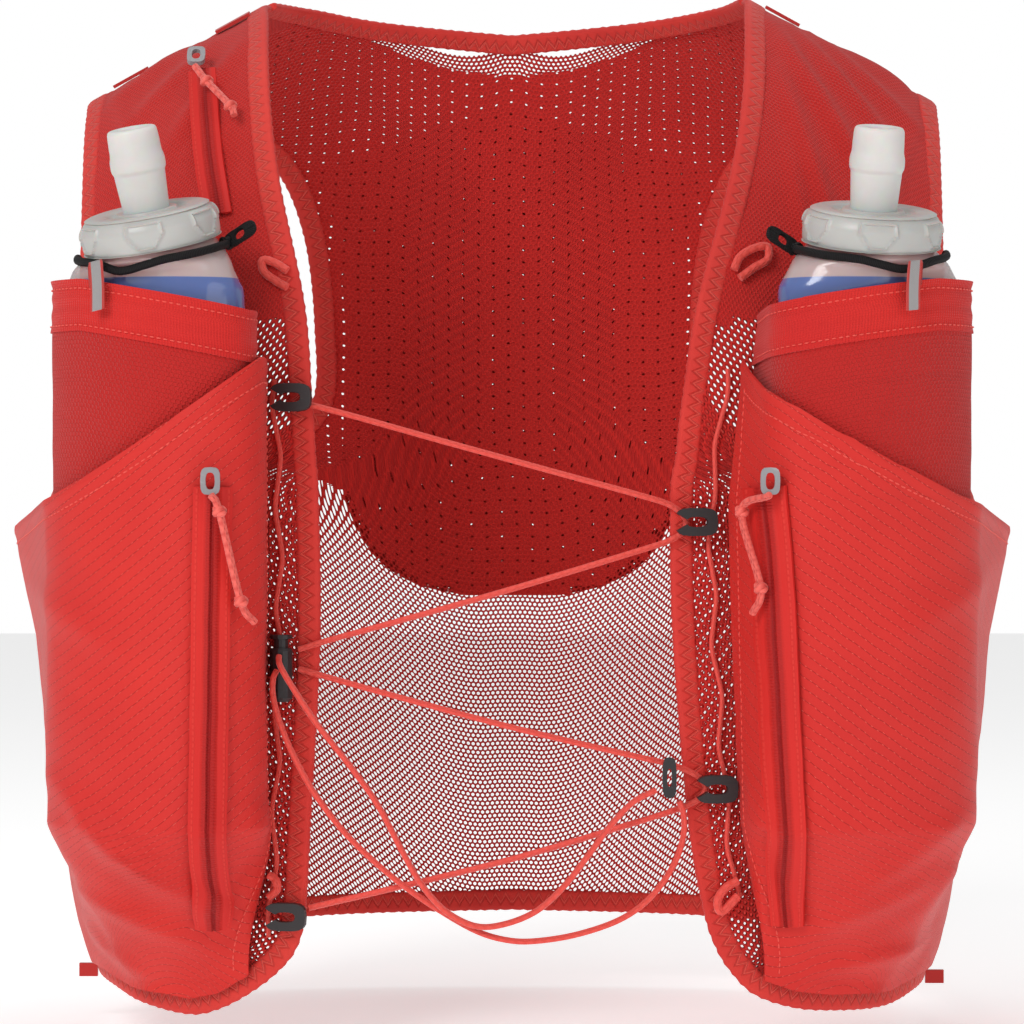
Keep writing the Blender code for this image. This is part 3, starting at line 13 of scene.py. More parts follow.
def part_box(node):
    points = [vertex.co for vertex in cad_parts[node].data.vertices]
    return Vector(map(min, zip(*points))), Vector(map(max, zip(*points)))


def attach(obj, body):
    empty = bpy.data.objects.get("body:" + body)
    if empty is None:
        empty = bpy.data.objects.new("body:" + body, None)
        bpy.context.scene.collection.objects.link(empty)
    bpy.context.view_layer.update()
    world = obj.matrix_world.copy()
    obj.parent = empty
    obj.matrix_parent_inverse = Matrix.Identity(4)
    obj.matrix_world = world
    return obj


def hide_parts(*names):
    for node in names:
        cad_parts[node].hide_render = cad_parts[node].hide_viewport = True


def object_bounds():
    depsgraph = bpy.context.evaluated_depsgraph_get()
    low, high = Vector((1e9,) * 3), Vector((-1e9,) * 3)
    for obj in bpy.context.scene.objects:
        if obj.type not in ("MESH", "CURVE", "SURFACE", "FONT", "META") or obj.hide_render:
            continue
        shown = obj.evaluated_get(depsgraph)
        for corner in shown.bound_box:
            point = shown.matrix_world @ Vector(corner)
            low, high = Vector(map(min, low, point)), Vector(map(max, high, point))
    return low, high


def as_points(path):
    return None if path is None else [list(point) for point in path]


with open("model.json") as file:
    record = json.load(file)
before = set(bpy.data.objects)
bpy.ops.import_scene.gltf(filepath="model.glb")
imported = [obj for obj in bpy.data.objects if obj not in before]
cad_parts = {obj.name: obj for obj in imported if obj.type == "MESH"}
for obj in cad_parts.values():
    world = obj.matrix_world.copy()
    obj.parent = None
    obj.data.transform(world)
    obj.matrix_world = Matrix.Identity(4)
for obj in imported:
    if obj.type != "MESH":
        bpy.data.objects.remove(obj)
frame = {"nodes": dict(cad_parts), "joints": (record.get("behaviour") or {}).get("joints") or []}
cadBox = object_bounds()
root = "vest"
right, left = -1, 1
sideName = {right: "right", left: "left"}
bothSides = (right, left)
print("frame loaded")


# Camera, light and floor

view = dict(distance=1.420, height=-0.194, lens=130.57, sensor=36.0)
studio = dict(floorGap=0.012, floorSize=9.0, keyPower=16.5, fillPower=3.5, topPower=4.5, world=0.44)


def addLight(name, place, target, size, power):
    light = bpy.data.lights.new(name, "AREA")
    light.shape, light.size, light.energy = "DISK", size, power
    lamp = bpy.data.objects.new(name, light)
    lamp.location = place
    lamp.rotation_euler = (Vector(target) - Vector(place)).to_track_quat("-Z", "Y").to_euler()
    bpy.context.scene.collection.objects.link(lamp)


def buildStudio():
    scene = bpy.context.scene
    camera = bpy.data.objects.new("camera", bpy.data.cameras.new("camera"))
    camera.data.lens, camera.data.sensor_width = view["lens"], view["sensor"]
    camera.location = (0, -view["distance"], view["height"])
    camera.rotation_euler = (pi / 2, 0, 0)
    scene.collection.objects.link(camera)
    scene.camera = camera

    middle = (0, 0, view["height"])
    addLight("keyLight", (-0.9, -1.5, 0.9), middle, 0.9, studio["keyPower"])
    addLight("fillLight", (1.3, -1.4, 0.3), middle, 1.2, studio["fillPower"])
    addLight("topLight", (0.1, 0.3, 1.5), middle, 1.0, studio["topPower"])
    world = bpy.data.worlds.new("studioWorld")
    world.use_nodes = True
    tree = world.node_tree
    background = tree.nodes["Background"]
    background.inputs["Color"].default_value = (1, 1, 1, 1)
    seen, strength = tree.nodes.new("ShaderNodeLightPath"), tree.nodes.new("ShaderNodeMapRange")
    strength.inputs["To Min"].default_value, strength.inputs["To Max"].default_value = studio["world"], 1.0
    tree.links.new(seen.outputs["Is Camera Ray"], strength.inputs["Value"])
    tree.links.new(strength.outputs["Result"], background.inputs["Strength"])
    scene.world = world
    scene.view_settings.view_transform = "Standard"

    half = studio["floorSize"] / 2
    low = cadBox[0].z - studio["floorGap"]
    mesh = bpy.data.meshes.new("floor")
    corners = [(x * half, y * half, low) for x, y in ((-1, -1), (1, -1), (1, 1), (-1, 1))]
    mesh.from_pydata(corners, [], [(0, 1, 2, 3)])
    floor = bpy.data.objects.new("floor", mesh)
    scene.collection.objects.link(floor)
    paper = bpy.data.materials.new("paper")
    paper.use_nodes = True
    shader = paper.node_tree.nodes["Principled BSDF"]
    shader.inputs["Base Color"].default_value = (0.92, 0.92, 0.92, 1)
    shader.inputs["Roughness"].default_value = 0.8
    shader.inputs["Emission Color"].default_value = (1, 1, 1, 1)
    shader.inputs["Emission Strength"].default_value = 0.42
    floor.data.materials.append(paper)


# Shader expressions

class Term:
    def __init__(self, tree, socket):
        self.tree, self.socket = tree, socket

    def apply(self, operation, *others):
        node = self.tree.nodes.new("ShaderNodeMath")
        node.operation = operation
        for slot, value in zip(node.inputs, (self, *others)):
            if isinstance(value, Term):
                self.tree.links.new(value.socket, slot)
            else:
                slot.default_value = value
        return Term(self.tree, node.outputs[0])

    def __add__(self, other):
        return self.apply("ADD", other)

    def __radd__(self, other):
        return self.apply("ADD", other)

    def __sub__(self, other):
        return self.apply("SUBTRACT", other)

    def __rsub__(self, other):
        return (self * -1.0) + other

    def __mul__(self, other):
        return self.apply("MULTIPLY", other)

    def __rmul__(self, other):
        return self.apply("MULTIPLY", other)

    def __truediv__(self, other):
        return self.apply("DIVIDE", other)

    def fract(self):
        return self.apply("FRACT")

    def floor(self):
        return self.apply("FLOOR")

    def size(self):
        return self.apply("ABSOLUTE")

    def wave(self):
        return (self * (2 * pi)).apply("SINE")

    def root(self):
        return self.apply("SQRT")

    def least(self, other):
        return self.apply("MINIMUM", other)

    def most(self, other):
        return self.apply("MAXIMUM", other)

    def below(self, limit):
        return self.apply("LESS_THAN", limit)

    def above(self, limit):
        return self.apply("GREATER_THAN", limit)

    def ramp(self, low, high):
        node = self.tree.nodes.new("ShaderNodeMapRange")
        node.interpolation_type = "SMOOTHSTEP"
        self.tree.links.new(self.socket, node.inputs["Value"])
        node.inputs["From Min"].default_value, node.inputs["From Max"].default_value = low, high
        return Term(self.tree, node.outputs["Result"])


class Paint:
    def __init__(self, name):
        self.material = bpy.data.materials.new(name)
        self.material.use_nodes = True
        self.tree = self.material.node_tree
        self.shader = self.tree.nodes["Principled BSDF"]
        self.output = self.tree.nodes["Material Output"]

    def coordinates(self, kind="UV"):
        source = self.tree.nodes.new("ShaderNodeTexCoord")
        split = self.tree.nodes.new("ShaderNodeSeparateXYZ")
        self.tree.links.new(source.outputs[kind], split.inputs[0])
        return [Term(self.tree, split.outputs[axis]) for axis in range(3)]

    def clouds(self, scale, detail, stretch=(1, 1, 1)):
        source = self.tree.nodes.new("ShaderNodeTexCoord")
        place = self.tree.nodes.new("ShaderNodeMapping")
        place.inputs["Scale"].default_value = stretch
        node = self.tree.nodes.new("ShaderNodeTexNoise")
        node.inputs["Scale"].default_value = scale
        node.inputs["Detail"].default_value = detail
        self.tree.links.new(source.outputs["Object"], place.inputs["Vector"])
        self.tree.links.new(place.outputs["Vector"], node.inputs["Vector"])
        return Term(self.tree, node.outputs["Fac"])

    def blend(self, low, high, share):
        node = self.tree.nodes.new("ShaderNodeMix")
        node.data_type = "RGBA"
        for slot, colour in ((6, low), (7, high)):
            if isinstance(colour, tuple):
                node.inputs[slot].default_value = (*colour, 1)
            else:
                self.tree.links.new(colour, node.inputs[slot])
        self.tree.links.new(share.socket, node.inputs[0])
        return node.outputs[2]

    def set(self, **values):
        for name, value in values.items():
            slot = self.shader.inputs[name.replace("_", " ")]
            if isinstance(value, Term):
                self.tree.links.new(value.socket, slot)
            elif isinstance(value, bpy.types.NodeSocket):
                self.tree.links.new(value, slot)
            elif isinstance(value, tuple):
                slot.default_value = (*value, 1)
            else:
                slot.default_value = value

    def bump(self, height, depth, strength):
        node = self.tree.nodes.new("ShaderNodeBump")
        node.inputs["Distance"].default_value = depth
        node.inputs["Strength"].default_value = strength
        self.tree.links.new(height.socket, node.inputs["Height"])
        self.tree.links.new(node.outputs[0], self.shader.inputs["Normal"])

    def openAt(self, hole):
        clear = self.tree.nodes.new("ShaderNodeBsdfTransparent")
        mix = self.tree.nodes.new("ShaderNodeMixShader")
        self.tree.links.new(hole.socket, mix.inputs[0])
        self.tree.links.new(self.shader.outputs[0], mix.inputs[1])
        self.tree.links.new(clear.outputs[0], mix.inputs[2])
        self.tree.links.new(mix.outputs[0], self.output.inputs["Surface"])


def dots(u, v, pitch):
    # Distance to the nearest point of a staggered grid, in pitches
    nearest = None
    for shift in (0.0, 0.5):
        across = (u / pitch + shift).fract() - 0.5
        along = ((v / (pitch * 1.732)) + shift).fract() - 0.5
        reach = (across * across + along * along * 3.0).root()
        nearest = reach if nearest is None else nearest.least(reach)
    return nearest


# lit and deep are the lit and the shaded copy of the same cloth red; wherever the two are mixed, the mixture is painted
# light and shade.
reds = dict(lit=(0.70, 0.027, 0.019), deep=(0.50, 0.010, 0.012), mesh=(0.66, 0.020, 0.015),
            meshHoleShade=(0.38, 0.006, 0.008), trim=(0.76, 0.050, 0.036), thread=(0.88, 0.100, 0.070),
            knit=(0.70, 0.024, 0.017), cord=(0.80, 0.080, 0.060))


def paintRipstop(name):
    paint = Paint(name)
    rowHeight, dashLength = 0.0040, 0.0046
    u, v, _ = paint.coordinates()
    row = (v + u * 0.10) / rowHeight
    brick = (u / dashLength + row.floor() * 0.5).fract()
    dash = (row.fract() - 0.5).size().ramp(0.455, 0.49) * brick.below(0.80)
    spot = (row.fract() - 0.5).size().above(0.43) * (brick - 0.90).size().below(0.07)
    weave = (u / 0.00045).wave() * (v / 0.00045).wave()
    tone = paint.clouds(9.0, 4.0) * 0.5 + paint.clouds(60.0, 2.0) * 0.3
    # The shaded red (deep) mixed with the lit red in random patches is painted light and shade.
    base = paint.blend(reds["deep"], reds["lit"], (tone * 1.3 + 0.28).least(1.0))
    base = paint.blend(base, (0.28, 0.006, 0.008), dash * 0.62)
    base = paint.blend(base, (0.92, 0.20, 0.15), spot * 0.5)
    paint.set(Base_Color=base, Roughness=(tone * 0.15 + 0.42), Sheen_Weight=0.06, Sheen_Roughness=0.4,
              Specular_IOR_Level=0.28)
    creases = paint.clouds(26.0, 5.0, stretch=(1.0, 1.0, 0.45))
    paint.bump(weave * 0.06 + creases * 2.2 - dash * 0.4 + spot * 0.3, 0.0007, 0.7)
    return paint.material


def paintMesh(name, pitch, hole, openShare=1.0, pinholes=0.0, depth=1.5):
    paint = Paint(name)
    u, v, _ = paint.coordinates()
    reach = dots(u, v, pitch)
    tone = paint.clouds(14.0, 4.0)
    thread = ((u / (pitch * 0.25)).wave() * 0.5 + 0.5)
    # The dark red at the centres of the holes and around them is painted shade seen through the mesh, with some random
    # tone mixed in; depth sets how quickly the painted shade gives way to the mesh red.
    base = paint.blend(reds["meshHoleShade"], reds["mesh"], (reach * depth + tone * 0.35).least(1.0))
    base = paint.blend(base, reds["thread"], thread * 0.10)
    paint.set(Base_Color=base, Roughness=0.75, Sheen_Weight=0.12, Sheen_Roughness=0.5, Specular_IOR_Level=0.2)
    height = reach.ramp(hole, hole + 0.25) + thread * 0.15
    paint.bump(height, pitch * 0.3, 0.8)
    if pinholes:
        across, along = ((u / pinholes).fract() - 0.5).size(), ((v / (pinholes * 0.8)).fract() - 0.5).size()
        paint.openAt((across * across + along * along).root().below(0.09))
    elif openShare:
        paint.openAt(reach.below(hole) * openShare)
    return paint.material


def paintKnit(name):
    paint = Paint(name)
    rib = 0.0011
    u, v, _ = paint.coordinates()
    courses = (u / rib).wave() * 0.5 + 0.5
    wales = ((v / (rib * 0.8)) + (u / rib).wave() * 0.12).wave() * 0.5 + 0.5
    tone = paint.clouds(22.0, 3.0)
    # The shaded red (deep) mixed in along the troughs of the ribs and in random patches is painted shade.
    base = paint.blend(reds["deep"], reds["knit"], (courses * 0.25 + wales * 0.20 + tone * 0.75).least(1.0))
    paint.set(Base_Color=base, Roughness=0.70, Sheen_Weight=0.12, Sheen_Roughness=0.45, Specular_IOR_Level=0.25)
    paint.bump(courses * 0.6 + wales * 0.4 + tone, 0.00035, 0.8)
    return paint.material


def paintBinding(name, width, stitch):
    paint = Paint(name)
    u, v, _ = paint.coordinates()
    lean = ((u / stitch).fract() - 0.5).size() * 2.0
    centre = width * 0.60
    thread = (v - centre - (lean - 0.5) * (width * 0.42)).size()
    line = thread.ramp(0.00062, 0.00025)
    edge = (v - width * 0.5).size().ramp(width * 0.36, width * 0.48)
    weave = ((u / 0.0007).wave() * (v / 0.0006).wave())
    tone = paint.clouds(30.0, 3.0)
    # The shaded red (deep) mixed with the trim red in random patches is painted light and shade.
    base = paint.blend(reds["deep"], reds["trim"], (tone * 0.9 + 0.35).least(1.0))
    base = paint.blend(base, reds["thread"], line * 0.75)
    # The darker red along both rims of the tape, where it turns down onto the panel, is painted shade.
    base = paint.blend(base, (0.42, 0.010, 0.010), edge * 0.25)
    paint.set(Base_Color=base, Roughness=0.6, Sheen_Weight=0.12, Sheen_Roughness=0.4, Specular_IOR_Level=0.3)
    dimple = thread.ramp(0.0019, 0.0005)
    paint.bump(line * 1.1 - dimple * 0.9 + weave * 0.12 + tone * 0.5, 0.0006, 0.9)
    return paint.material


def paintCord(name, low, high, diameter):
    paint = Paint(name)
    u, v, _ = paint.coordinates()
    twist = diameter * 1.5
    strandA = (u / twist + v).wave()
    strandB = (u / twist - v).wave()
    braid = strandA.most(strandB) * 0.5 + 0.5
    tone = paint.clouds(40.0, 2.0)
    base = paint.blend(low, high, (braid * 0.75 + tone * 0.4).least(1.0))
    paint.set(Base_Color=base, Roughness=0.55, Sheen_Weight=0.3, Sheen_Roughness=0.4, Specular_IOR_Level=0.4)
    paint.bump(braid, diameter * 0.12, 0.9)
    return paint.material


def paintPlastic(name, low, high, roughness):
    paint = Paint(name)
    tone = paint.clouds(55.0, 4.0)
    speck = paint.clouds(1500.0, 2.0)
    scuff = paint.clouds(160.0, 5.0, stretch=(1, 1, 4)).ramp(0.58, 0.72)
    base = paint.blend(low, high, (tone * 0.6 + scuff * 0.25).least(1.0))
    paint.set(Base_Color=base, Roughness=(tone * 0.18 + scuff * 0.12 + roughness), Specular_IOR_Level=0.5)
    paint.bump(speck + scuff * 0.6, 0.00012, 0.5)
    return paint.material


def paintCap():
    paint = Paint("capPlastic")
    tone = paint.clouds(30.0, 3.0)
    speck = paint.clouds(1200.0, 2.0)
    base = paint.blend((0.40, 0.395, 0.375), (0.56, 0.555, 0.53), tone)
    paint.set(Base_Color=base, Roughness=(tone * 0.12 + 0.30), Subsurface_Weight=0.25, Subsurface_Scale=0.004,
              Specular_IOR_Level=0.5, Coat_Weight=0.15, Coat_Roughness=0.3)
    paint.bump(speck, 0.00008, 0.4)
    return paint.material


def paintSilicone():
    paint = Paint("valveSilicone")
    tone = paint.clouds(70.0, 3.0)
    _, _, z = paint.coordinates("Generated")
    base = paint.blend((0.66, 0.65, 0.62), (0.83, 0.82, 0.80), tone)
    base = paint.blend(base, (0.90, 0.90, 0.89), z.ramp(0.75, 1.0) * 0.5)
    paint.set(Base_Color=base, Roughness=(tone * 0.15 + 0.30), Subsurface_Weight=0.6, Subsurface_Scale=0.006,
              Transmission_Weight=0.15, Specular_IOR_Level=0.45)
    paint.bump(paint.clouds(900.0, 2.0), 0.00006, 0.4)
    return paint.material


def paintFilm(bandHigh, bandLow):
    paint = Paint("flaskFilm")
    _, _, z = paint.coordinates("Object")
    tone = paint.clouds(45.0, 4.0)
    band = z.ramp(bandLow, bandLow + 0.0004) * (1.0 - z.ramp(bandHigh - 0.0004, bandHigh))
    highlightStreak = paint.clouds(90.0, 3.0, stretch=(1, 1, 0.25)).ramp(0.45, 0.75)
    # The lighter pinkish-white streaks along the crinkles are painted highlights; the rest of the mixing is random
    # tone.
    base = paint.blend((0.83, 0.62, 0.60), (0.90, 0.84, 0.82), (tone * 0.7 + highlightStreak * 0.3).least(1.0))
    base = paint.blend(base, (0.055, 0.12, 0.36), band * 0.95)
    paint.set(Base_Color=base, Roughness=(tone * 0.12 + 0.10), Specular_IOR_Level=0.6, Coat_Weight=0.4,
              Coat_Roughness=0.06, Subsurface_Weight=0.15, Subsurface_Scale=0.004,
              Transmission_Weight=(1.0 - band) * 0.25)
    paint.bump(tone + highlightStreak * 0.5, 0.0006, 0.5)
    paint.openAt((1.0 - band) * 0.28)
    return paint.material


def paintElastic():
    paint = Paint("blackElastic")
    u, v, _ = paint.coordinates()
    rib = (u / 0.0006).wave() * 0.5 + 0.5
    paint.set(Base_Color=paint.blend((0.003, 0.003, 0.003), (0.014, 0.012, 0.013), rib), Roughness=0.6,
              Specular_IOR_Level=0.2)
    paint.bump(rib + (v * 6.0).wave() * 0.3, 0.0002, 0.8)
    return paint.material


def paintTape(name, ground, edge, width):
    paint = Paint(name)
    u, v, _ = paint.coordinates()
    rim = (v - width / 2).size().above(width * 0.36)
    weave = (u / 0.0006).wave() * (v / 0.0006).wave()
    base = paint.blend(ground, edge, rim)
    paint.set(Base_Color=base, Roughness=0.6, Sheen_Weight=0.3, Specular_IOR_Level=0.35)
    paint.bump(weave + paint.clouds(50.0, 2.0), 0.0003, 0.7)
    return paint.material


def paintZip():
    paint = Paint("zipTape")
    u, v, _ = paint.coordinates()
    off = (v - zipShape["width"] / 2).size()
    seam = off.ramp(0.0009, 0.0002)
    ridge = off.ramp(0.0030, 0.0016)
    stitch = (off - zipShape["width"] * 0.40).size().ramp(0.0005, 0.0002) * (u / 0.0022).fract().above(0.30)
    teeth = (u / 0.0011).wave() * 0.5 + 0.5
    tone = paint.clouds(18.0, 3.0)
    # The shaded red (deep) mixed with the lit red in random patches is painted light and shade.
    base = paint.blend(reds["deep"], reds["lit"], (tone * 0.7 + 0.30).least(1.0))
    base = paint.blend(base, (0.26, 0.004, 0.005), (seam * 0.85).most(off.ramp(0.0024, 0.0016) * 0.45))
    base = paint.blend(base, reds["trim"], stitch * 0.5)
    paint.set(Base_Color=base, Roughness=0.6, Specular_IOR_Level=0.25)
    paint.bump(ridge * 1.2 - seam * 1.4 + teeth * ridge * 0.35 + stitch * 0.3 + tone * 0.4, 0.0006, 0.9)
    return paint.material


# The torso that the cloth lies on, with sizes read from the frame

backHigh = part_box("back_panel")[1]
neckFrame = {side: next(j for j in frame["joints"] if j["name"] == sideName[side] + "_cap_turn") for side in bothSides}
torso = dict(halfWidth=backHigh.x, halfDepth=backHigh.y, chest=-0.170, drop=0.372, slope=0.55, power=2.6,
             neck=0.0915, arm=0.160, wall=0.0014)
torso["skirt"] = torso["drop"] + torso["chest"]
sections = dict(drop=(0.0, 0.565, 0.740, 0.806, 0.887, 1.020), width=(1.0, 1.0, 0.966, 0.944, 0.912, 0.872),
                depth=(1.0, 1.0, 0.990, 0.980, 0.965, 0.945))
# Station runs along the body: -1 front hem, 0 front chest, 1 crown, 2 back at chest height, 3 back hem
# Front rows: station, right edge / neck, left edge / neck, station at the arm, arm edge / arm (None is the side seam)
frontRows = (
    (1.160, 0.858, 0.858, 1.160, 0.932), (1.000, 1.011, 0.967, 1.000, 1.000),
    (0.770, 1.000, 0.955, 0.770, 1.003), (0.525, 0.968, 0.923, 0.525, 0.997),
    (0.368, 0.918, 0.860, 0.368, 0.994), (0.180, 0.811, 0.726, 0.180, 0.994),
    (0.053, 0.779, 0.662, 0.060, 1.005), (-0.020, 0.765, 0.638, -0.040, 1.040),
    (-0.099, 0.754, 0.616, -0.149, None), (-0.347, 0.748, 0.627, -0.347, None),
    (-0.668, 0.787, 0.689, -0.600, None), (-0.827, 0.810, 0.752, -0.740, None),
    (-0.891, 0.845, 0.800, -0.820, None), (-0.934, 0.920, 0.860, -0.880, None),
    (-0.974, 1.033, 0.950, None, None),
)
sideRow, crown = 8, 3
hemRows = (
    (1.158, 1.100, -1.005, -1.000), (1.279, 1.256, -1.018, -1.010),
    (1.482, 1.482, -1.005, -1.013), (1.607, 1.630, -0.984, -0.995), (None, None, -0.972, -0.985),
)
backArmRows = ((1.360, 0.750), (1.520, 0.600), (1.660, 0.528), (1.810, 0.503), (1.930, 0.515),
               (1.985, 0.660), (2.015, 0.850), (2.060, 1.020))
neckRows = ((1.453, 0.0), (1.315, 0.552))
neckFade, skirtStations, hemRise = 1.810, (2.450, 2.720), 0.062
backPocketRows = ((1.560, 0.500), (1.660, 0.450), (1.810, 0.425), (1.960, 0.430), (2.080, 0.430),
                  (2.200, 0.360), (2.262, 0.255), (2.288, 0.120))
seamRows = ((-1.00, 0.975, 0.930), (-0.85, 0.970, 0.923), (-0.60, 0.965, 0.885), (-0.40, 0.965, 0.860),
            (-0.25, 0.965, 0.840), (-0.10, 0.965, 0.835), (0.00, 0.965, 0.863), (0.20, 0.965, 0.930))


def rounded(value):
    return np.sign(value) * np.abs(value) ** (2 / torso["power"])


def torsoSizes(z):
    drop = -np.asarray(z) / torso["drop"]
    return (torso["halfWidth"] * np.interp(drop, sections["drop"], sections["width"]),
            torso["halfDepth"] * np.interp(drop, sections["drop"], sections["depth"]))


def bare(place):
    place = np.asarray(place, float)
    angle, station = place[..., 0], place[..., 1]
    down = np.maximum(np.where(station < 0, -station, station - 2), 0)
    level = torso["chest"] - down * torso["skirt"]
    width, depth = torsoSizes(level)
    x = width * rounded(np.sin(angle))
    arch = np.clip(station, 0, 2) * pi / 2
    rise = -torso["slope"] * (np.abs(x) - torso["neck"]) - torso["chest"]
    z = level + rise * np.sin(arch)
    return np.stack([x, -depth * rounded(np.cos(angle)) * np.cos(arch), z], -1)


def unit(vectors):
    return vectors / np.maximum(np.linalg.norm(vectors, axis=-1, keepdims=True), 1e-12)


def torsoNormal(place):
    place, step = np.asarray(place, float), 1e-3
    along = bare(place + (0, step)) - bare(place - (0, step))
    across = bare(place + (step, 0)) - bare(place - (step, 0))
    normal = unit(np.cross(across, along))
    outwards = bare(place) - (0, 0, torso["chest"])
    return normal * np.sign(np.sum(normal * outwards, -1, keepdims=True))


def onTorso(place, lift):
    return bare(place) + torsoNormal(place) * np.asarray(lift)[..., None]


def angleAt(x, station):
    level = torso["chest"] - np.maximum(np.maximum(-station, station - 2), 0) * torso["skirt"]
    share = np.minimum(np.abs(x) / torsoSizes(level)[0], 1.0)
    return np.arcsin(share ** (torso["power"] / 2))


def locate(point):
    point = np.asarray(point, float)
    x, y, z = np.abs(point[..., 0]), point[..., 1], point[..., 2]
    width = torsoSizes(np.minimum(z, torso["chest"]))[0]
    top = -torso["slope"] * (x - torso["neck"])
    arch = np.arcsin(np.clip((z - torso["chest"]) / (top - torso["chest"]), 0, 1)) * 2 / pi
    low = z < torso["chest"]
    down = (torso["chest"] - z) / torso["skirt"]
    front = y < 0
    station = np.where(low, np.where(front, -down, 2 + down), np.where(front, arch, 2 - arch))
    return np.stack([np.arcsin(np.minimum(x / width, 1.0) ** (torso["power"] / 2)), station], -1)


def frontPlace(x, z):
    x, z = np.broadcast_arrays(np.asarray(x, float), np.asarray(z, float))
    return locate(np.stack([x, -np.ones_like(x), z], -1))


def frontPoint(x, z, lift=0.0):
    return onTorso(frontPlace(x, z), lift)


# Paths and grids

def smooth(points, count, closed=False):
    points = np.asarray(points, float)
    size = len(points)
    spans = size if closed else size - 1
    at = np.linspace(0, spans, count, endpoint=not closed)
    low = np.minimum(at.astype(int), spans - 1)
    t = (at - low)[:, None]

    def pick(shift):
        index = low + shift
        if closed:
            return points[index % size]
        inside = points[np.clip(index, 0, size - 1)]
        before = np.where((index < 0)[:, None], 2 * points[0] - points[1], inside)
        return np.where((index > size - 1)[:, None], 2 * points[-1] - points[-2], before)

    a, b, c, d = pick(-1), pick(0), pick(1), pick(2)
    return 0.5 * (2 * b + (c - a) * t + (2 * a - 5 * b + 4 * c - d) * t ** 2 + (3 * b - a - 3 * c + d) * t ** 3)


def evened(points, spacing, closed=False):
    dense = smooth(points, len(points) * 14, closed)
    if closed:
        dense = np.vstack([dense, dense[:1]])
    reach = np.concatenate([[0], np.cumsum(np.linalg.norm(np.diff(dense, axis=0), axis=1))])
    count = max(5, int(round(reach[-1] / spacing)) + 1)
    wanted = np.linspace(0, reach[-1], count)
    path = np.stack([np.interp(wanted, reach, dense[:, axis]) for axis in range(dense.shape[1])], -1)
    return path[:-1] if closed else path


def refined(grid, rows, columns):
    grid = np.asarray(grid, float)
    wide = np.stack([smooth(row, columns) for row in grid])
    return np.stack([smooth(wide[:, column], rows) for column in range(columns)], 1)


def tangents(path, closed=False):
    if closed:
        return unit(np.roll(path, -1, 0) - np.roll(path, 1, 0))
    return unit(np.gradient(path, axis=0))


def onSide(points, side):
    return np.asarray(points) * (side, 1, 1)


def inset(path, distance, closed=False, lift=0.0):
    across = unit(np.cross(torsoNormal(locate(path)), tangents(path, closed)))
    return onTorso(locate(path + across * distance), lift)


def gridNormals(grid):
    down, across = np.gradient(grid, axis=0), np.gradient(grid, axis=1)
    return unit(np.cross(across, down))


def clothReach(grid, axis):
    steps = np.linalg.norm(np.diff(grid, axis=axis), axis=-1)
    reach = np.cumsum(steps, axis=axis)
    return np.concatenate([np.zeros_like(np.take(reach, [0], axis)), reach], axis)


def addMesh(name, points, faces, uv, material):
    mesh = bpy.data.meshes.new(name)
    mesh.from_pydata([tuple(p) for p in np.asarray(points)], [], faces)
    if uv is not None:
        layer = mesh.uv_layers.new(name="UVMap")
        flat = np.asarray(uv, float)[[index for face in faces for index in face]]
        layer.data.foreach_set("uv", flat.ravel())
    mesh.shade_smooth()
    shell = bmesh.new()
    shell.from_mesh(mesh)
    bmesh.ops.recalc_face_normals(shell, faces=shell.faces)
    shell.to_mesh(mesh)
    shell.free()
    mesh.materials.append(material)
    made = bpy.data.objects.new(name, mesh)
    bpy.context.scene.collection.objects.link(made)
    return made


def finished(made, slot, *nodes, body=root):
    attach(made, body)
    if nodes:
        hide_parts(*nodes)
    return made


def addSheet(name, outer, inner, side, material, uv=None):
    rows, columns = outer.shape[:2]
    if uv is None:
        u, v = clothReach(outer, 1), clothReach(outer, 0)
        uv = np.stack([u - u[:, columns // 2:columns // 2 + 1], -v], -1)
    points = np.concatenate([onSide(outer, side).reshape(-1, 3), onSide(inner, side).reshape(-1, 3)])
    index = np.arange(rows * columns).reshape(rows, columns)
    under = index + rows * columns
    faces = []
    for sheet, turned in ((index, side > 0), (under, side < 0)):
        a, b, c, d = sheet[:-1, :-1], sheet[:-1, 1:], sheet[1:, 1:], sheet[1:, :-1]
        quads = np.stack([a, d, c, b] if turned else [a, b, c, d], -1).reshape(-1, 4)
        faces += quads.tolist()
    rim = [*index[0], *index[1:, -1], *index[-1, -2::-1], *index[-2:0:-1, 0]]
    shift = rows * columns
    for here, there in zip(rim, rim[1:] + rim[:1]):
        quad = [here, there, there + shift, here + shift]
        faces.append([int(k) for k in (quad if side > 0 else quad[::-1])])
    flat = np.concatenate([uv.reshape(-1, 2)] * 2)
    made = addMesh(name, points, faces, flat, material)
    made.data.set_sharp_from_angle(angle=radians(60))
    return made


def addRings(name, rings, material, closed=False, uv=None):
    rings = np.asarray(rings, float)
    steps, around = rings.shape[:2]
    points = rings.reshape(-1, 3)
    index = np.arange(steps * around).reshape(steps, around)
    faces = []
    spans = steps if closed else steps - 1
    for step in range(spans):
        low, high = index[step], index[(step + 1) % steps]
        faces += np.stack([low, np.roll(low, -1), np.roll(high, -1), high], -1).tolist()
    if not closed:
        faces += [index[0][::-1].tolist(), index[-1].tolist()]
    if uv is None:
        middle = rings.mean(1)
        along = np.concatenate([[0], np.cumsum(np.linalg.norm(np.diff(middle, axis=0), axis=1))])
        uv = np.stack(np.broadcast_arrays(along[:, None], np.linspace(0, 1, around, endpoint=False)[None]), -1)
    made = addMesh(name, points, faces, uv.reshape(-1, 2), material)
    made.data.set_sharp_from_angle(angle=radians(50))
    return made


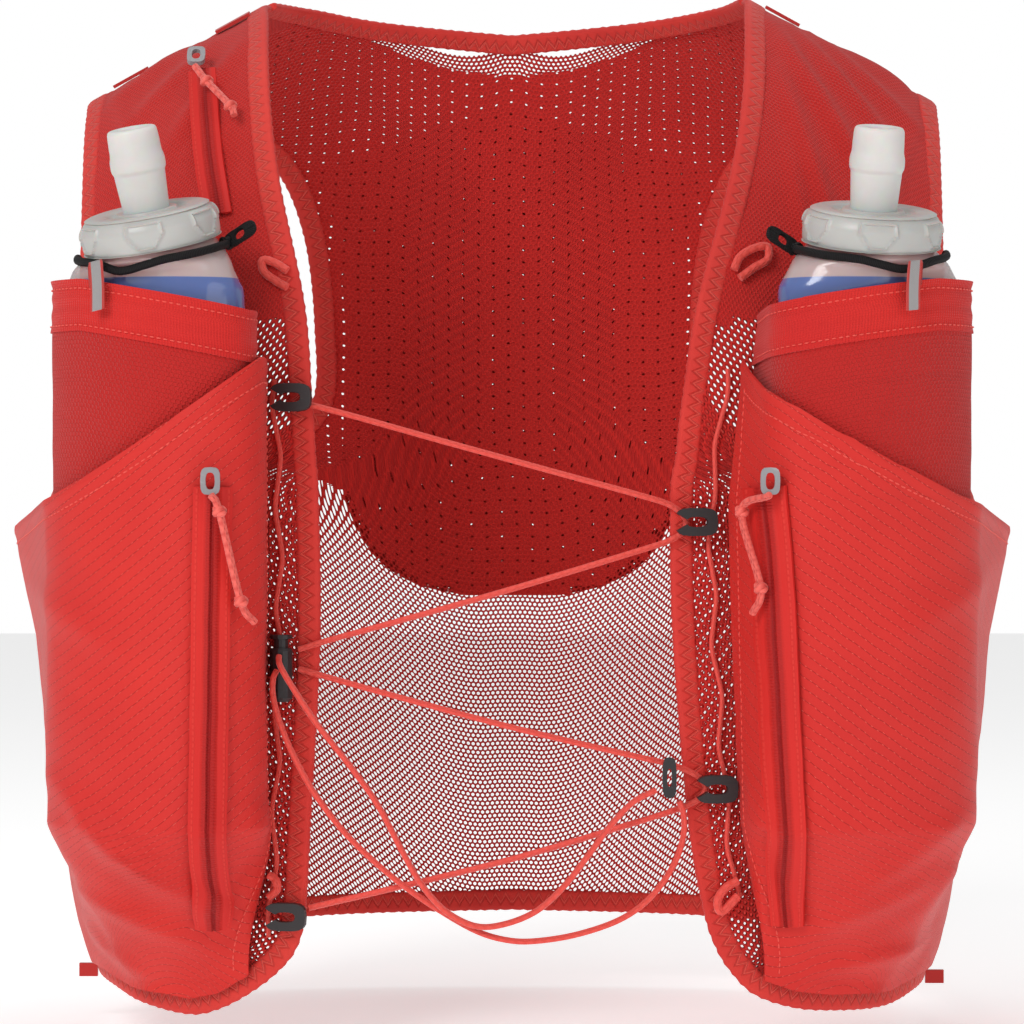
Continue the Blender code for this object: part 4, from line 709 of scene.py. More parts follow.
def tube(name, path, radius, material, sides, closed=False):
    path = np.asarray(path, float)
    along = tangents(path, closed)
    radii = np.broadcast_to(np.asarray(radius, float), (len(path),))
    normal = np.array((0.0, -1.0, 0.0))
    rings = []
    for point, direction, reach in zip(path, along, radii):
        normal = normal - direction * normal.dot(direction)
        if np.linalg.norm(normal) < 1e-6:
            normal = np.array((direction[1], direction[2], direction[0]))
            normal = normal - direction * normal.dot(direction)
        normal = normal / np.linalg.norm(normal)
        other = np.cross(direction, normal)
        turn = np.linspace(0, 2 * pi, sides, endpoint=False)[:, None]
        rings.append(point + (np.cos(turn) * normal + np.sin(turn) * other) * reach)
    return addRings(name, rings, material, closed)


def joined(name, parts):
    target = parts[0]
    with bpy.context.temp_override(active_object=target, object=target, selected_objects=parts,
                                   selected_editable_objects=parts):
        bpy.ops.object.join()
    target.name = target.data.name = name
    return target


# Edges of the vest

def edgePoint(share, fullWidth, station):
    angle = pi / 2 if share is None else float(angleAt(share * fullWidth, station))
    return bare((angle, station))


def frontEdge(side):
    column, hemColumn = (1, 0) if side == right else (2, 1)
    path = [edgePoint(share, torso["neck"], station) for station, share in neckRows]
    path += [edgePoint(row[column], torso["neck"], row[0]) for row in frontRows]
    path += [edgePoint(row[hemColumn], torso["neck"], row[hemColumn + 2]) for row in hemRows]
    return np.array(path)


def armEdge():
    front = [edgePoint(row[4], torso["arm"], row[3]) for row in frontRows[sideRow::-1]]
    return np.array(front + [edgePoint(share, torso["arm"], station) for station, share in backArmRows])


def backHem():
    path = []
    for k in range(5):
        across = 1 - k / 4
        path.append(bare((pi / 2 * across, 2 - hemRows[-1][3] - hemRise * (1 - across ** 1.5))))
    return np.array(path)


def ripple(grid, height, scale, seed):
    values = np.array([noise.fractal(Vector(p) * scale + Vector((seed, 0, 0)), 1.0, 2.0, 4)
                       for p in grid.reshape(-1, 3)])
    return values.reshape(grid.shape[:-1]) * height


def folds(grid, creases):
    # Ridges of cloth. Each crease: start (x, z), end (x, z), half width, height
    lift = np.zeros(grid.shape[:-1])
    for start, end, width, height in creases:
        start, end = np.array(start), np.array(end)
        flat = grid[..., [0, 2]] - start
        line = end - start
        length = np.linalg.norm(line)
        share = np.clip(flat @ line / length ** 2, 0, 1)
        away = np.linalg.norm(flat - share[..., None] * line, axis=-1)
        lift += height * np.exp(-(away / width) ** 2) * np.sin(pi * np.clip(share, 0.04, 0.96)) ** 0.5
    return lift


panel = dict(cover=0.0035, rows=150, columns=56, stripTop=-0.126)
bindingShape = dict(width=0.0080, thick=0.0030, spacing=0.0016, scallop=0.00045, stitch=0.0042)
edgeInset = bindingShape["width"] - panel["cover"]


def frontPlaces(side):
    edge = locate(inset(frontEdge(side), edgeInset))
    arm = locate(inset(armEdge(), edgeInset, closed=True))
    corner = crown + len(frontRows) - 2
    hem = edge[corner:]
    columns = len(hem)
    places = []
    for row, (_, _, _, armStation, _) in enumerate(frontRows[:-1]):
        start = edge[row + crown - 1]
        end = arm[sideRow - row] if row <= sideRow else np.array((pi / 2, armStation))
        if row == sideRow:
            end = np.array((pi / 2, end[1] if end[1] < 0 else 2 - end[1]))
        places.append([start + (end - start) * k / (columns - 1) for k in range(columns)])
    last = np.array((pi / 2, hem[-1][1] if hem[-1][1] < 0 else 2 - hem[-1][1]))
    places.append([*hem[:-1], last])
    return refined(places, panel["rows"], panel["columns"])


# Start (x, z), end (x, z), half width, height
gathers = {
    right: (((0.100, -0.020), (0.128, -0.062), 0.0030, 0.0016), ((0.112, -0.018), (0.142, -0.050), 0.0026, 0.0014),
            ((0.120, -0.016), (0.150, -0.040), 0.0024, 0.0014), ((0.104, -0.050), (0.118, -0.110), 0.0035, 0.0010),
            ((0.148, -0.040), (0.130, -0.090), 0.0030, 0.0010)),
    left: (((0.097, -0.012), (0.128, -0.070), 0.0032, 0.0024), ((0.104, -0.012), (0.140, -0.058), 0.0028, 0.0022),
           ((0.112, -0.014), (0.150, -0.050), 0.0026, 0.0020), ((0.098, -0.030), (0.120, -0.105), 0.0034, 0.0020),
           ((0.122, -0.018), (0.152, -0.036), 0.0022, 0.0018), ((0.100, -0.058), (0.110, -0.120), 0.0030, 0.0012),
           ((0.150, -0.052), (0.128, -0.100), 0.0030, 0.0014)),
}


def buildFrontPanels(finish, stripFinish):
    for side in bothSides:
        places = frontPlaces(side)
        surface = bare(places)
        lift = folds(surface, gathers[side]) * 1.5 * (surface[..., 1] < 0.02)
        lift += ripple(surface, 0.0007, 38.0, 3.0 * side)
        name = sideName[side] + "_front_panel"
        made = addSheet(name + "_cloth", onTorso(places, lift), onTorso(places, lift - torso["wall"]), side, finish)
        made.data.materials.append(stripFinish)
        centres = np.array([tuple(p.center) for p in made.data.polygons])
        seams = torso["neck"] * column(seamRows, frontPlace(torso["neck"], centres[:, 2])[:, 1], side)
        inside = np.abs(centres[:, 0]) < seams + seam["roll"]
        strip = inside & (centres[:, 2] < panel["stripTop"]) & (centres[:, 1] < 0)
        made.data.polygons.foreach_set("material_index", strip.astype(np.int32))
        finished(made, "red_mesh", name)


def behind(station):
    return 2 - station if station < 0 else station


def backPlaces():
    hem = locate(inset(backHem(), edgeInset))
    halves = {}
    neckPath = np.concatenate([onSide(frontEdge(right)[crown:0:-1], right), frontEdge(left)[:crown + 1]])
    middle = locate(inset(neckPath, edgeInset)[crown])[1]
    seam = 0.001 / (-torso["chest"] * pi / 2)
    for side in bothSides:
        edge = locate(inset(frontEdge(side), edgeInset))
        arm = locate(inset(armEdge(), edgeInset, closed=True))
        corner, armTop = edge[crown - 1], arm[sideRow]
        top = [np.array((0.0, middle)), edge[1], corner, (corner + armTop) / 2, armTop]
        top = top[:2] + [place + (0, seam) for place in top[2:]]
        rows = [top]
        sidePlace = (pi / 2, behind(arm[0][1]))
        for endAngle, endStation in [*arm[sideRow + 1:], sidePlace, *((pi / 2, s) for s in skirtStations)]:
            row = []
            for k in range(5):
                station = endStation
                if endStation < neckFade + 0.01:
                    faded = min((endStation - top[4][1]) / (neckFade - top[4][1]), 1.0)
                    station = top[k][1] + (neckFade - top[k][1]) * faded
                row.append((endAngle * k / 4, station))
            rows.append(row)
        rows.append([(0.0, hem[-1][1])] + [hem[4 - k] for k in range(1, 4)] + [(pi / 2, behind(hem[0][1]))])
        halves[side] = np.array(rows)
    rightHalf = halves[right][:, :0:-1] * (-1, 1)
    return np.concatenate([rightHalf, halves[left]], 1)


# The open mesh under the neck binding: half width, lowest height, rise towards its ends
neckWindow = dict(half=0.064, low=-0.0185, rise=0.0150)


def buildBackPanel(finish, skirtFinish):
    places = refined(backPlaces(), 190, 150)
    surface = bare(places)
    lift = ripple(surface, 0.0010, 22.0, 9.0)
    inner = onTorso(places, lift - torso["wall"] * 0.5)
    made = addSheet("back_panel_cloth", onTorso(places, lift), inner, left, finish)
    made.data.materials.append(skirtFinish)
    low = pocketEdgeStation()
    centres = np.array([tuple(p.center) for p in made.data.polygons])
    station = locate(centres)[:, 1]
    across = np.abs(centres[:, 0])
    under = (station > 1.9) & (station > low(across))
    windowLow = neckWindow["low"] + neckWindow["rise"] * (across / neckWindow["half"]) ** 2
    under |= (station < 1.9) & (across < neckWindow["half"]) & (centres[:, 2] > windowLow)
    made.data.polygons.foreach_set("material_index", under.astype(np.int32))
    finished(made, "red_mesh", "back_panel")


def pocketEdgeStation():
    halfWidths = [share * torso["arm"] - 0.0015 for _, share in backPocketRows[4:]]
    stations = [station for station, _ in backPocketRows[4:]]
    widths, levels = halfWidths[::-1] + [0.085, 0.150], stations[::-1] + [2.04, 1.99]
    widths, levels = [0.0, *widths], [stations[-1] + 0.004, *levels]
    return lambda x: np.interp(x, widths, levels)


def buildBackPocket(finish):
    half = 3
    neckPath = np.concatenate([onSide(frontEdge(right)[crown:0:-1], right), frontEdge(left)[:crown + 1]])
    middleTop = locate(inset(neckPath, bindingShape["width"] * 1.3)[crown])[1]
    sideTop = backPocketRows[0][0]
    places = []
    for station, share in backPocketRows:
        edge = float(angleAt(share * torso["arm"], station))
        row = []
        for k in range(-half, half + 1):
            dip = 0.0
            if station < neckFade:
                dip = max(middleTop - sideTop, 0) * (neckFade - station) / (neckFade - sideTop) * (1 - abs(k / half))
            row.append((edge * k / half, station + dip))
        places.append(row)
    places = refined(places, 110, 80)
    lift = 0.0010 + ripple(bare(places), 0.0008, 30.0, 5.0).clip(-0.0006, 0.001)
    made = addSheet("back_pocket_cloth", onTorso(places, lift + 0.0012), onTorso(places, lift), left, finish)
    finished(made, "ripstop", "back_pocket")


def addBinding(name, path, finish, closed=False):
    path = evened(path, bindingShape["spacing"], closed)
    outer = inset(path, -0.0002, closed, -torso["wall"] / 2)
    inner = inset(path, bindingShape["width"], closed, -torso["wall"] / 2)
    along = clothReach((outer + inner)[:, None] / 2, 0)[:, 0]
    wave = np.cos(2 * pi * along / bindingShape["stitch"])[:, None]
    middle, half = (outer + inner) / 2, (outer - inner) / 2
    half = half * (1 + wave * bindingShape["scallop"] / bindingShape["width"])
    up = unit(np.cross(half, tangents(middle, closed)))
    roll = bindingShape["thick"] / 2
    profile = []
    for k in range(18):
        turn = 2 * pi * k / 18
        flat = np.sign(cos(turn)) * abs(cos(turn)) ** 0.35
        rise = np.sign(sin(turn)) * abs(sin(turn)) ** 0.75
        profile.append((flat, rise))
    rings = np.stack([middle + half * flat + up * rise * roll * (1 - 0.12 * abs(flat)) for flat, rise in profile], 1)
    for end in (0, -1):
        if not closed and abs(path[end][0]) < 1e-4:
            rings[end, :, 0] = 0
    across = np.array([(1 - flat) / 2 * bindingShape["width"] for flat, _ in profile])
    uv = np.stack(np.broadcast_arrays(along[:, None], across[None]), -1)
    return addRings(name, rings, finish, closed, uv)


def buildBindings(finish):
    for side in bothSides:
        name = sideName[side]
        made = addBinding(name + "_edge_binding_band", smooth(frontEdge(side), 400)[int(400 * crown / 21):], finish)
        flip(made, side)
        finished(made, "red_binding", name + "_edge_binding")
        made = addBinding(name + "_armhole_binding_band", armEdge(), finish, closed=True)
        flip(made, side)
        finished(made, "red_binding", name + "_armhole_binding")
    halves = []
    for side in bothSides:
        made = addBinding("neck_" + sideName[side], smooth(frontEdge(side), 400)[:int(400 * crown / 21)], finish)
        flip(made, side)
        halves.append(made)
    finished(joined("neck_binding_band", halves), "red_binding", "neck_binding")
    halves = []
    for side in bothSides:
        made = addBinding("hem_" + sideName[side], backHem(), finish)
        flip(made, side)
        halves.append(made)
    finished(joined("back_hem_binding_band", halves), "red_binding", "back_hem_binding")


def flip(made, side):
    if side < 0:
        made.data.transform(Matrix.Diagonal((-1, 1, 1, 1)))
        made.data.flip_normals()


# Flasks and the cloth that wraps round them

flask = dict(length=0.204, halfWidth=0.035, halfDepth=0.021, neckDrop=0.1005, standoff=0.034, yaw=radians(22),
             neckRadius=0.0215, clearance=0.0022, bottomStandoff=1.30, cap=0.0253, capHeight=0.0125,
             valve=0.0097, valveHeight=0.0285, bore=0.0042)
flask["bottom"] = -flask["neckDrop"] - flask["length"]
flask["x"] = (torso["neck"] + torso["arm"]) / 2
flaskSections = dict(share=(0.0, 0.03, 0.10, 0.30, 0.60, 0.85, 0.925, 0.960),
                     width=(0.50, 0.80, 0.95, 1.0, 1.0, 1.0, 0.97, 0.85),
                     depth=(0.40, 0.66, 0.86, 1.0, 1.0, 0.98, 0.97, 0.98))
seam = dict(lift=0.0004, turn=0.3, roll=0.0044, weight=0.030)
pocket = dict(wall=0.0012, bandHeight=0.018, fall=0.060, flare=0.005, inner=-flask["neckDrop"] - 0.0235,
              outer=-flask["neckDrop"] - 0.0125, bottom=0.010, lift=0.0022 + 0.0012 + 0.0014)
pocket["top"] = pocket["inner"] - pocket["bandHeight"] + 0.0020
flaskPocketLimits = (0.0020, float(angleAt(torso["arm"] - 0.008 - 0.0044, 0.0)), 0.030)
frontPocketLimits = (0.0, pi / 2, 0.060)


def column(rows, key, side):
    rows = sorted((row[0], row[1 if side == right else 2]) for row in rows)
    return np.interp(key, [row[0] for row in rows], [row[1] for row in rows])


def seamX(side, z):
    return float(torso["neck"] * column(seamRows, frontPlace(torso["neck"], z)[1], side))


def openingX(side, z):
    return float(torso["neck"] * column([row[:3] for row in frontRows], frontPlace(torso["neck"], z)[1], side))


def turned(points, angle):
    return np.asarray(points) @ np.array(((cos(angle), sin(angle)), (-sin(angle), cos(angle))))


def ellipseCorner(directions, width, depth):
    local = turned(directions, -flask["yaw"])
    reach = np.sqrt((width * local[..., 0]) ** 2 + (depth * local[..., 1]) ** 2)[..., None]
    return turned(local * (width * width, depth * depth) / reach, flask["yaw"])


def flaskCentre(z):
    share = max((z - flask["bottom"]) / flask["length"], 0.0)
    low = frontPoint(flask["x"], flask["bottom"])[1] - flask["halfDepth"] * flask["bottomStandoff"]
    high = frontPoint(flask["x"], torso["chest"])[1] - flask["standoff"]
    return np.array((flask["x"], low + (high - low) * share))


def wrappedSection(side, z, seamInset, endAngle, closing):
    start = frontPlace(seamX(side, z) + seam["roll"] + seamInset, z)[0]
    width = torsoSizes(min(z, torso["chest"]))[0]
    place = frontPlace(width * rounded(np.sin(np.linspace(start, endAngle, 31))), z)
    normal = torsoNormal(place)[:, :2]
    arc = bare(place)[:, :2] + unit(normal) * seam["lift"]
    share = (z - flask["bottom"]) / flask["length"]
    closed = min(max(-share * flask["length"] / closing, 0.0), 1.0)
    full = min(max(share, 0.5), 0.9)
    wide = flask["halfWidth"] * np.interp(full, flaskSections["share"], flaskSections["width"]) * (1 - closed * 0.8)
    deep = flask["halfDepth"] * np.interp(full, flaskSections["share"], flaskSections["depth"]) * (1 - closed * 0.9)
    centre = flaskCentre(z) * (1 - closed) + frontPoint(flask["x"], z)[:2] * closed
    turn = np.radians(np.arange(-90, 151, 3))
    directions = np.stack([np.sin(turn), -np.cos(turn)], -1)
    reach = arc @ directions.T
    best = reach.argmax(0)
    flaskCorner = centre + ellipseCorner(directions, wide, deep)
    proud = (flaskCorner * directions).sum(1) > reach.max(0)
    corners = np.where(proud[:, None], flaskCorner, arc[best])
    keep = proud | ((best != 0) & (best != len(arc) - 1))
    corners, directions = corners[keep], directions[keep]

    def facing(here, there):
        along = unit(there - here)
        return np.array((along[1], -along[0]))

    ends = []
    for sewn, edge in (((arc[0], corners[0]), (arc[0], arc[1])), ((corners[-1], arc[-1]), (arc[-2], arc[-1]))):
        ends.append(unit(facing(*sewn) * (1 - seam["turn"]) + facing(*edge) * seam["turn"]))
    return np.vstack([arc[:1], corners, arc[-1:]]), np.vstack([ends[:1], directions, ends[1:]])


def spread(section, shares):
    corners, out = section
    bend = np.arccos(np.clip((out[1:] * out[:-1]).sum(1), -1, 1))
    reach = np.concatenate([[0], np.cumsum(np.linalg.norm(np.diff(corners, axis=0), axis=1) + seam["weight"] * bend)])
    wanted = reach[-1] * shares
    pick = [np.stack([np.interp(wanted, reach, values[:, axis]) for axis in (0, 1)], -1) for values in (corners, out)]
    return pick[0], unit(pick[1])


def wrappedGrid(side, limits, rows, columns, heights, flare=0.0):
    shares = np.linspace(0, 1, columns)
    reference = spread(wrappedSection(side, torso["chest"] - torso["skirt"] * 0.1, *limits), shares)[0][:, 0]
    across = np.clip((reference - reference[0]) / (reference[-1] - reference[0]), 0, 1)
    grid, outs = np.zeros((rows, columns, 3)), np.zeros((rows, columns, 3))
    lowX = spread(wrappedSection(side, flask["bottom"] - 0.058, *limits), shares)[0][:, 0]
    levels = np.array([[heights(a, x, row / (rows - 1)) for a, x in zip(across, lowX)] for row in range(rows)])
    steps = np.linspace(levels.min() - 1e-4, levels.max() + 1e-4, 170)
    table = [spread(wrappedSection(side, z, *limits), shares) for z in steps]
    corners = np.array([entry[0] for entry in table])
    normals = np.array([entry[1] for entry in table])
    for k in range(columns):
        for axis in (0, 1):
            grid[:, k, axis] = np.interp(levels[:, k], steps, corners[:, k, axis])
            outs[:, k, axis] = np.interp(levels[:, k], steps, normals[:, k, axis])
    grid[..., 2] = levels
    down = np.linspace(0, 1, rows)[:, None]
    tip = flare * np.clip(across - 0.75, 0, 1)[None] * 4 * np.clip(1 - 4 * down, 0, 1)
    return grid, unit(outs), tip


def bandHeights(across, x, down):
    return pocket["inner"] + (pocket["outer"] - pocket["inner"]) * across - pocket["bandHeight"] * down


def flaskPocketHeights(across, x, down):
    top = bandHeights(across, x, 1.0) + 0.0006
    return top + (flask["bottom"] - pocket["bottom"] - top) * down


def hemZ(side, x):
    columns = (1, 0, 2) if side == right else (2, 1, 3)
    rows = [(row[columns[0]], row[0]) for row in frontRows[-2:]]
    rows += [(row[columns[1]], row[columns[2]]) for row in hemRows[:-1]]
    rows.append((torso["halfWidth"] / torso["neck"], hemRows[-1][columns[2]]))
    return torso["chest"] + np.interp(x / torso["neck"], *zip(*rows)) * torso["skirt"]


def frontPocketHeights(side):
    def heights(across, x, down):
        top = pocket["top"] - pocket["fall"] * (across ** 0.92 + 0.06 * sin(pi * across))
        bottom = hemZ(side, min(x, torso["halfWidth"] * 0.86)) + 0.0093 - panel["cover"] * 0.9
        return top + (bottom - top) * down
    return heights


# Start (x, z), end (x, z), half width, height
creases = {
    right: (((0.100, -0.338), (0.148, -0.306), 0.0050, 0.0028), ((0.104, -0.352), (0.152, -0.330), 0.0042, 0.0026),
            ((0.118, -0.330), (0.160, -0.288), 0.0048, 0.0018), ((0.130, -0.362), (0.156, -0.345), 0.0036, 0.0018),
            ((0.088, -0.300), (0.098, -0.352), 0.0034, 0.0016), ((0.120, -0.250), (0.170, -0.222), 0.0060, 0.0012)),
    left: (((0.100, -0.348), (0.150, -0.322), 0.0046, 0.0026), ((0.112, -0.336), (0.158, -0.300), 0.0050, 0.0020),
           ((0.106, -0.360), (0.150, -0.350), 0.0034, 0.0020), ((0.086, -0.290), (0.092, -0.350), 0.0034, 0.0016),
           ((0.128, -0.240), (0.172, -0.214), 0.0060, 0.0012), ((0.140, -0.340), (0.158, -0.318), 0.0036, 0.0014)),
}


def pocketSurface(side):
    grid, out, tip = wrappedGrid(side, frontPocketLimits, 130, 96, frontPocketHeights(side), pocket["flare"])
    lift = (pocket["lift"] + tip) * (1 - 0.60 * np.linspace(0, 1, 130)[:, None] ** 16)
    plain = grid + out * lift[..., None]
    down = np.linspace(0, 1, 130)[:, None]
    waves = ripple(plain, 0.0013, 20.0, 11.0 + side) * np.clip(down * 1.6, 0.25, 1.0)
    lift = lift + folds(plain, creases[side]) * 1.5 + waves
    hem = np.exp(-((down - 0.012) / 0.012) ** 2) * 0.0006
    return grid, out, lift + hem


surfaces = {side: pocketSurface(side) for side in bothSides}


def onPocket(side, x, z, lift):
    grid, out, base = surfaces[side]
    points = grid + out * (base + pocket["wall"] + lift)[..., None]
    level = np.stack([[np.interp(-z, -points[:, k, 2], points[:, k, axis]) for axis in (0, 1)]
                      for k in range(points.shape[1])])
    rising = np.maximum.accumulate(level[:, 0])
    return np.array((x, np.interp(x, rising, level[:, 1]), z))


def buildPockets(finishes):
    for side in bothSides:
        name = sideName[side]
        grid, out, _ = wrappedGrid(side, flaskPocketLimits, 18, 90, bandHeights)
        down = np.linspace(0, 1, 18)[:, None]
        lift = flask["clearance"] + 0.0004 * np.exp(-(down / 0.10) ** 2) + 0.0002 * np.cos(down * 2 * pi * 3)
        lift = lift + ripple(grid, 0.0005, 40.0, 2.0)
        made = addSheet(name + "_pocket_band_knit", grid + out * (lift + pocket["wall"] + 0.0002)[..., None],
                        grid + out * lift[..., None], side, finishes["knit"])
        finished(made, "red_knit", name + "_pocket_band")

        grid, out, _ = wrappedGrid(side, flaskPocketLimits, 90, 90, flaskPocketHeights)
        lift = flask["clearance"] + ripple(grid, 0.0006, 30.0, 4.0)
        made = addSheet(name + "_flask_pocket_mesh", grid + out * (lift + pocket["wall"] * 0.7)[..., None],
                        grid + out * lift[..., None], side, finishes["fineMesh"])
        finished(made, "red_mesh", name + "_flask_pocket")

        grid, out, lift = surfaces[side]
        made = addSheet(name + "_front_pocket_ripstop", grid + out * (lift + pocket["wall"])[..., None],
                        grid + out * lift[..., None], side, finishes["ripstop"])
        finished(made, "ripstop", name + "_front_pocket")


def jointAxis(side):
    axis = Vector(neckFrame[side]["axis"]).normalized()
    turn = Vector((0, 0, 1)).rotation_difference(axis).to_matrix().to_4x4()
    return Matrix.Translation(Vector(neckFrame[side]["pos_m"])) @ turn


def lathe(name, profile, place, sides, material):
    rings = []
    for radius, height in profile:
        angles = np.linspace(0, 2 * pi, sides, endpoint=False)
        ring = np.stack([radius * np.cos(angles), radius * np.sin(angles), np.full(sides, height)], -1)
        rings.append([tuple(place @ Vector(p)) for p in ring])
    return addRings(name, rings, material)


def smoothProfile(points, count):
    return smooth(np.array(points, float), count)


def buildFlasks(finishes):
    for side in bothSides:
        name, place = sideName[side], jointAxis(side)
        rings = []
        turn = np.linspace(0, 2 * pi, 56, endpoint=False)
        directions = np.stack([np.cos(turn), np.sin(turn)], -1)
        shares = np.array(flaskSections["share"])
        levels = ((0, 0.03, 5), (0.04, 0.84, 26), (0.86, 0.955, 14))
        for share in np.concatenate([np.linspace(*level) for level in levels]):
            z = flask["bottom"] + flask["length"] * share
            wide = flask["halfWidth"] * float(np.interp(share, shares, flaskSections["width"]))
            deep = flask["halfDepth"] * float(np.interp(share, shares, flaskSections["depth"]))
            corner = ellipseCorner(directions, wide, deep)
            edge = 0.0006 * np.exp(-((np.abs(corner @ (cos(flask["yaw"]), sin(flask["yaw"]))) - wide) / 0.002) ** 2)
            flat = flaskCentre(z) + corner * (1 + edge / wide)[:, None]
            rings.append(np.column_stack([flat, np.full(len(turn), z)]))
        rings = np.array(rings)
        crinkle = ripple(rings, 0.0010, 55.0, 8.0 + side)[..., None]
        rings = rings + unit(rings - rings.mean(1, keepdims=True)) * (crinkle - 0.0004)
        rings = onSide(rings, side)
        rim = np.array([tuple(place @ Vector((d[0] * flask["neckRadius"] * side, d[1] * flask["neckRadius"], 0)))
                        for d in directions])
        neck = []
        for share in np.linspace(0.12, 1.0, 9):
            blend = share * share * (3 - 2 * share)
            shoulder = rings[-1] * (1 - share) + rim * share
            swell = np.sin(pi * share) * 0.0011
            neck.append(shoulder + unit(shoulder - shoulder.mean(0)) * swell + (0, 0, 0.0 * blend))
        rings = np.concatenate([rings, neck])
        if side < 0:
            rings = rings[:, ::-1]
        made = addRings(name + "_flask_body", rings, finishes["film"])
        finished(made, "flask_film", name + "_flask")
        buildCap(name, place, finishes)
        buildValve(name, place, finishes)


capShape = dict(facets=6, relief=0.0016, sides=192)


def buildCap(name, place, finishes):
    radius, height, base = flask["cap"], flask["capHeight"], 0.0003
    outline = smoothProfile((
        (radius * 0.80, base), (radius - 0.0016, base), (radius - 0.0003, base + 0.0008), (radius, base + 0.0026),
        (radius, base + height * 0.45), (radius - 0.0003, base + height * 0.66),
        (radius - 0.0020, base + height * 0.88), (radius - 0.0042, base + height * 0.985),
        (radius - 0.0062, base + height), (radius * 0.60, base + height * 0.985),
        (radius * 0.52, base + height * 0.90), (radius * 0.46, base + height * 0.90),
        (radius * 0.42, base + height)), 60)
    rings = []
    for reach, level in outline:
        up = (level - base) / height
        ring = []
        for k in range(capShape["sides"]):
            turn = 2 * pi * k / capShape["sides"]
            around = (turn / (2 * pi) * capShape["facets"]) % 1.0 - 0.5
            span = 0.27 - 0.20 * max(0.52 - up, 0.0) / 0.52
            inside = min(max((span - abs(around)) / 0.040, 0.0), 1.0)
            inside *= min(max((0.38 - abs(up - 0.48)) / 0.07, 0.0), 1.0)
            outside = reach > radius * 0.80
            push = capShape["relief"] * (2.4 * inside * (1 - inside) - 0.6) if outside and 0.02 < up < 0.93 else 0.0
            ring.append(tuple(place @ Vector(((reach + push) * cos(turn), (reach + push) * sin(turn), level))))
        rings.append(ring)
    made = addRings(name + "_cap_shell", rings, finishes["cap"])
    finished(made, "grey_cap", name + "_flask_cap", body=name + "_cap")


# Share of the radius, share of the height
valveProfile = ((0.85, 0.03), (0.88, 0.20), (0.92, 0.40), (0.93, 0.45), (0.99, 0.50), (1.0, 0.56), (0.99, 0.62),
                (0.94, 0.70), (0.93, 0.80), (0.91, 0.93), (0.88, 0.975), (0.80, 0.998), (0.60, 0.998))


def buildValve(name, place, finishes):
    seat = 0.0003 + flask["capHeight"] + 0.0003
    tall, wide, bore = flask["valveHeight"], flask["valve"], flask["bore"]
    low = seat - 0.0012
    shell = [(wide * 0.84, low)] + [(wide * reach, seat + tall * level) for reach, level in valveProfile]
    shell += [(bore * reach, seat + tall * level) for reach, level in ((1, 0.97), (0.85, 0.80), (0.70, 0.70))]
    outline = smoothProfile([*shell, (0.0002, seat + tall * 0.69)], 90)
    made = lathe(name + "_valve_silicone", outline, place, 72, finishes["silicone"])
    finished(made, "clear_silicone", name + "_bite_valve", body=name + "_cap")


def shoulderSpot(side, direction, drop, off):
    share = flaskSections["share"][-1]

    def sized(at):
        return (flask["halfWidth"] * np.interp(at, flaskSections["share"], flaskSections["width"]),
                flask["halfDepth"] * np.interp(at, flaskSections["share"], flaskSections["depth"]))

    lowZ = flask["bottom"] + flask["length"] * share
    low = Vector((*(flaskCentre(lowZ) + ellipseCorner(direction, *sized(share))), lowZ))
    rim = jointAxis(side) @ Vector((direction[0] * flask["neckRadius"] * side, direction[1] * flask["neckRadius"], 0))
    rim.x *= side
    slope = (rim - low).normalized()
    spot = rim - slope * drop
    if spot.z < lowZ:
        at = share - (lowZ - spot.z) / flask["length"]
        spot = Vector((*(flaskCentre(spot.z) + ellipseCorner(direction, *sized(at))), spot.z))
        slope = Vector((0, 0, 1))
    out = Vector((*direction, 0))
    out = (out - slope * out.dot(slope)).normalized()
    return np.array(spot + out * off)


elastic = dict(diameter=0.0030, drop=0.0052, tabLength=0.0135, tabWidth=0.0062, tabThick=0.0016, hole=0.0017)


def buildRetainers(finishes):
    for side in bothSides:
        name = sideName[side]
        turn = np.radians(np.linspace(-182, 2, 17))
        path = [shoulderSpot(side, np.array((cos(a), sin(a))), elastic["drop"], elastic["diameter"] * 0.5 + 0.0009)
                for a in turn]
        path = evened(onSide(path, side), 0.0012)
        strand = tube(name + "_elastic_strand", path, elastic["diameter"] / 2, finishes["elastic"], 12)
        start = path[0]
        away = np.array((-0.80 * side, -0.35, 0.48))
        middle = start + away * elastic["tabLength"] * 0.45
        tab = ringPlate(name + "_elastic_tab", middle, away, (0.2 * side, -0.6, 0.3),
                        (elastic["tabLength"], elastic["tabWidth"]), (elastic["tabLength"] * 0.30, elastic["hole"] * 2),
                        elastic["tabThick"], finishes["elastic"])
        knot = ballKnot(name + "_elastic_knot", start, 0.0030, finishes["elastic"])
        finished(joined(name + "_retainer_elastic", [strand, tab, knot]), "black_elastic", name + "_flask_retainer")


